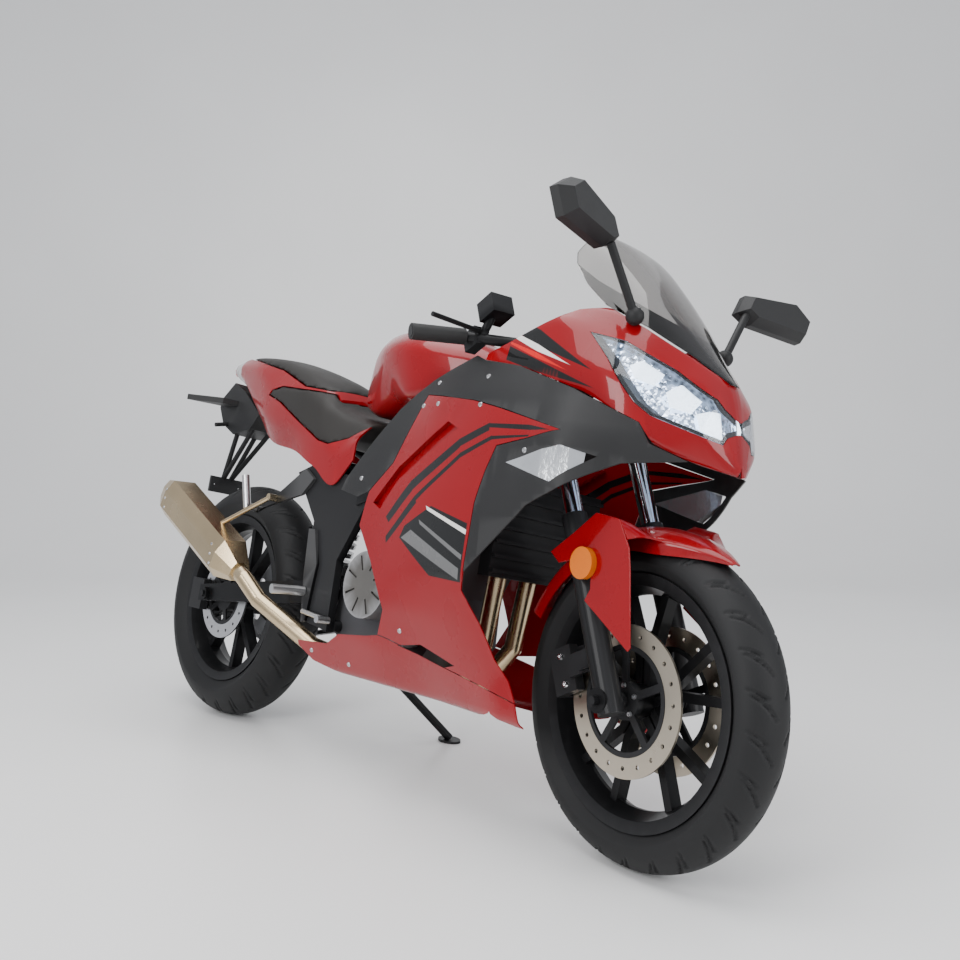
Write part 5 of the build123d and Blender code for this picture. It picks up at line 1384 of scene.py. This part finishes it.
def fastener_group():
    """A round head on each point, turned along the point's stored direction."""
    tree = bpy.data.node_groups.new("fastener_heads", "GeometryNodeTree")
    tree.interface.new_socket(name="Geometry", in_out="INPUT", socket_type="NodeSocketGeometry")
    for name, value in HEAD_INPUTS:
        socket = tree.interface.new_socket(name=name, in_out="INPUT", socket_type="NodeSocketFloat")
        socket.default_value = value
    seed = tree.interface.new_socket(name="Seed", in_out="INPUT", socket_type="NodeSocketInt")
    seed.default_value = HEAD_SEED
    tree.interface.new_socket(name="Material", in_out="INPUT", socket_type="NodeSocketMaterial")
    tree.interface.new_socket(name="Geometry", in_out="OUTPUT", socket_type="NodeSocketGeometry")
    start, end = tree.nodes.new("NodeGroupInput"), tree.nodes.new("NodeGroupOutput")
    link = tree.links.new
    head = add_nodes(tree, "GeometryNodeMeshCone", Vertices=HEAD_SIDES)
    recess = add_nodes(tree, "GeometryNodeMeshCylinder", Vertices=RECESS_SIDES)
    for name, factor, node, socket in (
        ("Radius", 1.0, head, "Radius Bottom"), ("Radius", TOP_SHARE, head, "Radius Top"),
        ("Height", 1.0, head, "Depth"), ("Radius", RECESS_SHARE, recess, "Radius"),
        ("Height", RECESS_DEPTH, recess, "Depth"),
    ):
        scale = add_nodes(tree, "ShaderNodeMath", operation="MULTIPLY")
        scale.inputs[1].default_value = factor
        link(start.outputs[name], scale.inputs[0])
        link(scale.outputs[0], node.inputs[socket])
    raised = tree.nodes.new("GeometryNodeTransform")
    lift = tree.nodes.new("ShaderNodeCombineXYZ")
    link(start.outputs["Height"], lift.inputs["Z"])
    link(lift.outputs[0], raised.inputs["Translation"])
    link(recess.outputs["Mesh"], raised.inputs["Geometry"])
    cut = add_nodes(tree, "GeometryNodeMeshBoolean", operation="DIFFERENCE")
    link(head.outputs["Mesh"], cut.inputs[0])
    link(raised.outputs["Geometry"], cut.inputs[1])
    facing = add_nodes(tree, "GeometryNodeInputNamedAttribute", data_type="FLOAT_VECTOR")
    facing.inputs["Name"].default_value = "facing"
    align = add_nodes(tree, "FunctionNodeAlignRotationToVector", axis="Z")
    link(facing.outputs["Attribute"], align.inputs["Vector"])
    spread = add_nodes(tree, "FunctionNodeRandomValue", data_type="FLOAT")
    spread.inputs[3].default_value = FULL_TURN
    link(start.outputs["Seed"], spread.inputs["Seed"])
    own_turn = tree.nodes.new("ShaderNodeCombineXYZ")
    link(spread.outputs[1], own_turn.inputs["Z"])
    rotate = add_nodes(tree, "FunctionNodeRotateRotation", rotation_space="LOCAL")
    link(align.outputs["Rotation"], rotate.inputs[0])
    link(own_turn.outputs[0], rotate.inputs[1])
    placed = tree.nodes.new("GeometryNodeInstanceOnPoints")
    link(start.outputs["Geometry"], placed.inputs["Points"])
    link(cut.outputs["Mesh"], placed.inputs["Instance"])
    link(rotate.outputs[0], placed.inputs["Rotation"])
    real = tree.nodes.new("GeometryNodeRealizeInstances")
    link(placed.outputs["Instances"], real.inputs["Geometry"])
    painted = tree.nodes.new("GeometryNodeSetMaterial")
    link(real.outputs["Geometry"], painted.inputs["Geometry"])
    link(start.outputs["Material"], painted.inputs["Material"])
    link(painted.outputs["Geometry"], end.inputs["Geometry"])
    return tree


HEADS = fastener_group()
print(len(HEADS.nodes), "nodes in the group")

# %% [markdown]
# A screw sits where a ray from outside, at its place in the side view, meets the panel, and turns to the
# panel's normal there. So it lies flat on a curved skin, and still does if the skin is changed.

# %% Panel screws
PANEL_SCREWS = {
    "side_fairing": ((897, 333), (1082, 790), (930, 800), (868, 800)),
    "lower_cowl": ((560, 245), (700, 235)),
    "side_panel": ((1075, 850), (1230, 700), (700, 640), (900, 850)),
}
SCREW_RADIUS, SCREW_HEIGHT, SCREW_RAY_START = 5.5, 2.2, 400
HEAD_BEVEL, HEAD_CREASE = 0.25, 30


def fasteners(name, seats, radius, height, material, body, slot):
    """One mesh of heads at these (place, direction) seats, given in the model's frame."""
    points = bpy.data.meshes.new(name)
    points.from_pydata([place for place, way in seats], [], [])
    facing = points.attributes.new("facing", "FLOAT_VECTOR", "POINT")
    facing.data.foreach_set("vector", [value for place, way in seats for value in way])
    obj = bpy.data.objects.new(name, points)
    scene.collection.objects.link(obj)
    modifier = obj.modifiers.new("heads", "NODES")
    modifier.node_group = HEADS
    values = {"Radius": radius * MM, "Height": height * MM, "Seed": len(seats), "Material": material}
    for socket in HEADS.interface.items_tree:
        if socket.in_out == "INPUT" and socket.name in values:
            modifier[socket.identifier] = values[socket.name]
    bpy.context.view_layer.update()
    heads = bpy.data.meshes.new_from_object(obj.evaluated_get(bpy.context.evaluated_depsgraph_get()))
    bpy.data.objects.remove(obj)
    return add_piece(name, heads, material, body, None, HEAD_BEVEL, (), HEAD_CREASE)


def seats_on(mesh, way, spots):
    """Where rays along this way, from these spots, meet a mesh that is already in the model's frame."""
    tree = BVHTree.FromPolygons([v.co for v in mesh.vertices], [p.vertices for p in mesh.polygons])
    found = []
    for spot in spots:
        place, normal, index, away = tree.ray_cast(spot, way)
        if place is None:
            print("no seat at", spot)
            continue
        found.append((place, normal if normal.dot(way) < 0 else -normal))
    return found


for side, sign in (("right", -1), ("left", 1)):
    seats = []
    inward = (bike.to_3x3() @ Vector((0, -sign, 0))).normalized()
    for panel, spots in PANEL_SCREWS.items():
        shell = bpy.data.objects[f"{panel}_{side}_shell"]
        starts = [bike @ Vector((x, sign * SCREW_RAY_START, z)) for x, z in spots]
        seats += seats_on(shell.data, inward, starts)
    name = f"panel_screws_{side}"
    fasteners(name, seats, SCREW_RADIUS, SCREW_HEIGHT, finishes["steel"], "chassis", "steel")
    print(side, len(seats), "screws")

# %% [markdown]
# Five bolts hold each front disc to the hub and two hold each caliper to its fork leg. Both are placed
# about the front axle. The first turn with the wheel and the second only steer, so they are separate
# pieces on separate bodies.

# %% Disc and caliper bolts
DISC_BOLTS, DISC_BOLT_CIRCLE, DISC_RAY_START, DISC_BOLT_SIZE = 5, 27.0, 75, (5.0, 4.0)
CALIPER_BOLTS, CALIPER_RAY_START, CALIPER_BOLT_SIZE = ((-115, 58), (-115, 110)), 200, (7.0, 4.0)
disc_seats, caliper_seats = [], []
for side in (-1, 1):
    inward = (axle.to_3x3() @ Vector((0, -side, 0))).normalized()
    starts = []
    for number in range(DISC_BOLTS):
        turn = 2 * pi * number / DISC_BOLTS
        x, z = DISC_BOLT_CIRCLE * cos(turn), DISC_BOLT_CIRCLE * sin(turn)
        starts.append(axle @ Vector((x, side * DISC_RAY_START, z)))
    disc_seats += seats_on(nodes["front_rim"].data, inward, starts)
    starts = [axle @ Vector((x, side * CALIPER_RAY_START, z)) for x, z in CALIPER_BOLTS]
    caliper_seats += seats_on(nodes["front_calipers"].data, inward, starts)
steel, chrome = finishes["steel"], finishes["chrome"]
fasteners("disc_bolts", disc_seats, *DISC_BOLT_SIZE, steel, "front_wheel", "steel")
fasteners("caliper_bolts", caliper_seats, *CALIPER_BOLT_SIZE, chrome, "steering", "chrome")
print(len(disc_seats), "disc bolts,", len(caliper_seats), "caliper bolts")

# %% [markdown]
# The muffler's end caps are riveted to its sleeve. The rivets lie in two rings about its axis, of which
# only the outer side shows, so three rivets of each ring are made there.

# %% Muffler rivets
MUFFLER_FRONT, MUFFLER_REAR = Vector((272, -196, 390)), Vector((-92, -226, 572))
MUFFLER_RINGS, RIVET_DROPS, RIVET_RAY_START, RIVET_SIZE = (76, 355), (-24, 0, 24), 200, (3.6, 1.8)
muffler_way = (MUFFLER_REAR - MUFFLER_FRONT).normalized()
inward = (bike.to_3x3() @ Vector((0, 1, 0))).normalized()
starts = []
for along in MUFFLER_RINGS:
    for drop in RIVET_DROPS:
        spot = MUFFLER_FRONT + muffler_way * along + Vector((0, -RIVET_RAY_START, drop))
        starts.append(bike @ spot)
rivet_seats = seats_on(nodes["muffler"].data, inward, starts)
fasteners("muffler_rivets", rivet_seats, *RIVET_SIZE, steel, "chassis", "steel")
print(len(rivet_seats), "rivets")

# %% [markdown]
# No real edge is perfectly sharp, and a thin highlight along it tells the eye how big a part is. The CAD
# nodes that stay in view get small live bevels at their sharp angles, each as wide as suits the piece:
# cast parts are rounder than pressed or turned ones. Widths are in millimetres.

# %% Rounded edges
SMOOTH_ANGLE, BEVEL_ANGLE, BEVEL_SEGMENTS = 28, 34, 2
EDGES = {
    "mirrors": 6.0, "engine": 5.0, "engine_covers": 4.0, "main_frame": 2.0, "swingarm": 3.0, "muffler": 2.5,
    "front_calipers": 4.0, "rear_caliper": 4.0, "hand_controls": 3.0, "plate_bracket": 3.0,
    "rear_indicators": 3.0, "rider_footrests": 1.5, "passenger_footrests": 2.0, "fork_yokes": 3.0,
    "front_rim": 2.0, "rear_rim": 2.0, "tail_lamp": 2.0, "dash": 3.0, "radiator": 1.0,
    "fork_reflectors": 2.0, "front_indicators": 1.5, "side_stand": 1.5, "fork_sliders": 2.0,
}
for name, obj in nodes.items():
    if obj.hide_render:
        continue
    obj.data.polygons.foreach_set("use_smooth", [True] * len(obj.data.polygons))
    obj.data.set_sharp_from_angle(angle=radians(SMOOTH_ANGLE))
    if name in EDGES:
        edge = obj.modifiers.new("edge", "BEVEL")
        edge.width = EDGES[name] * MM
        edge.segments = BEVEL_SEGMENTS
        edge.limit_method = "ANGLE"
        edge.angle_limit = radians(BEVEL_ANGLE)
        edge.harden_normals = True
print(len(EDGES), "CAD nodes with rounded edges")
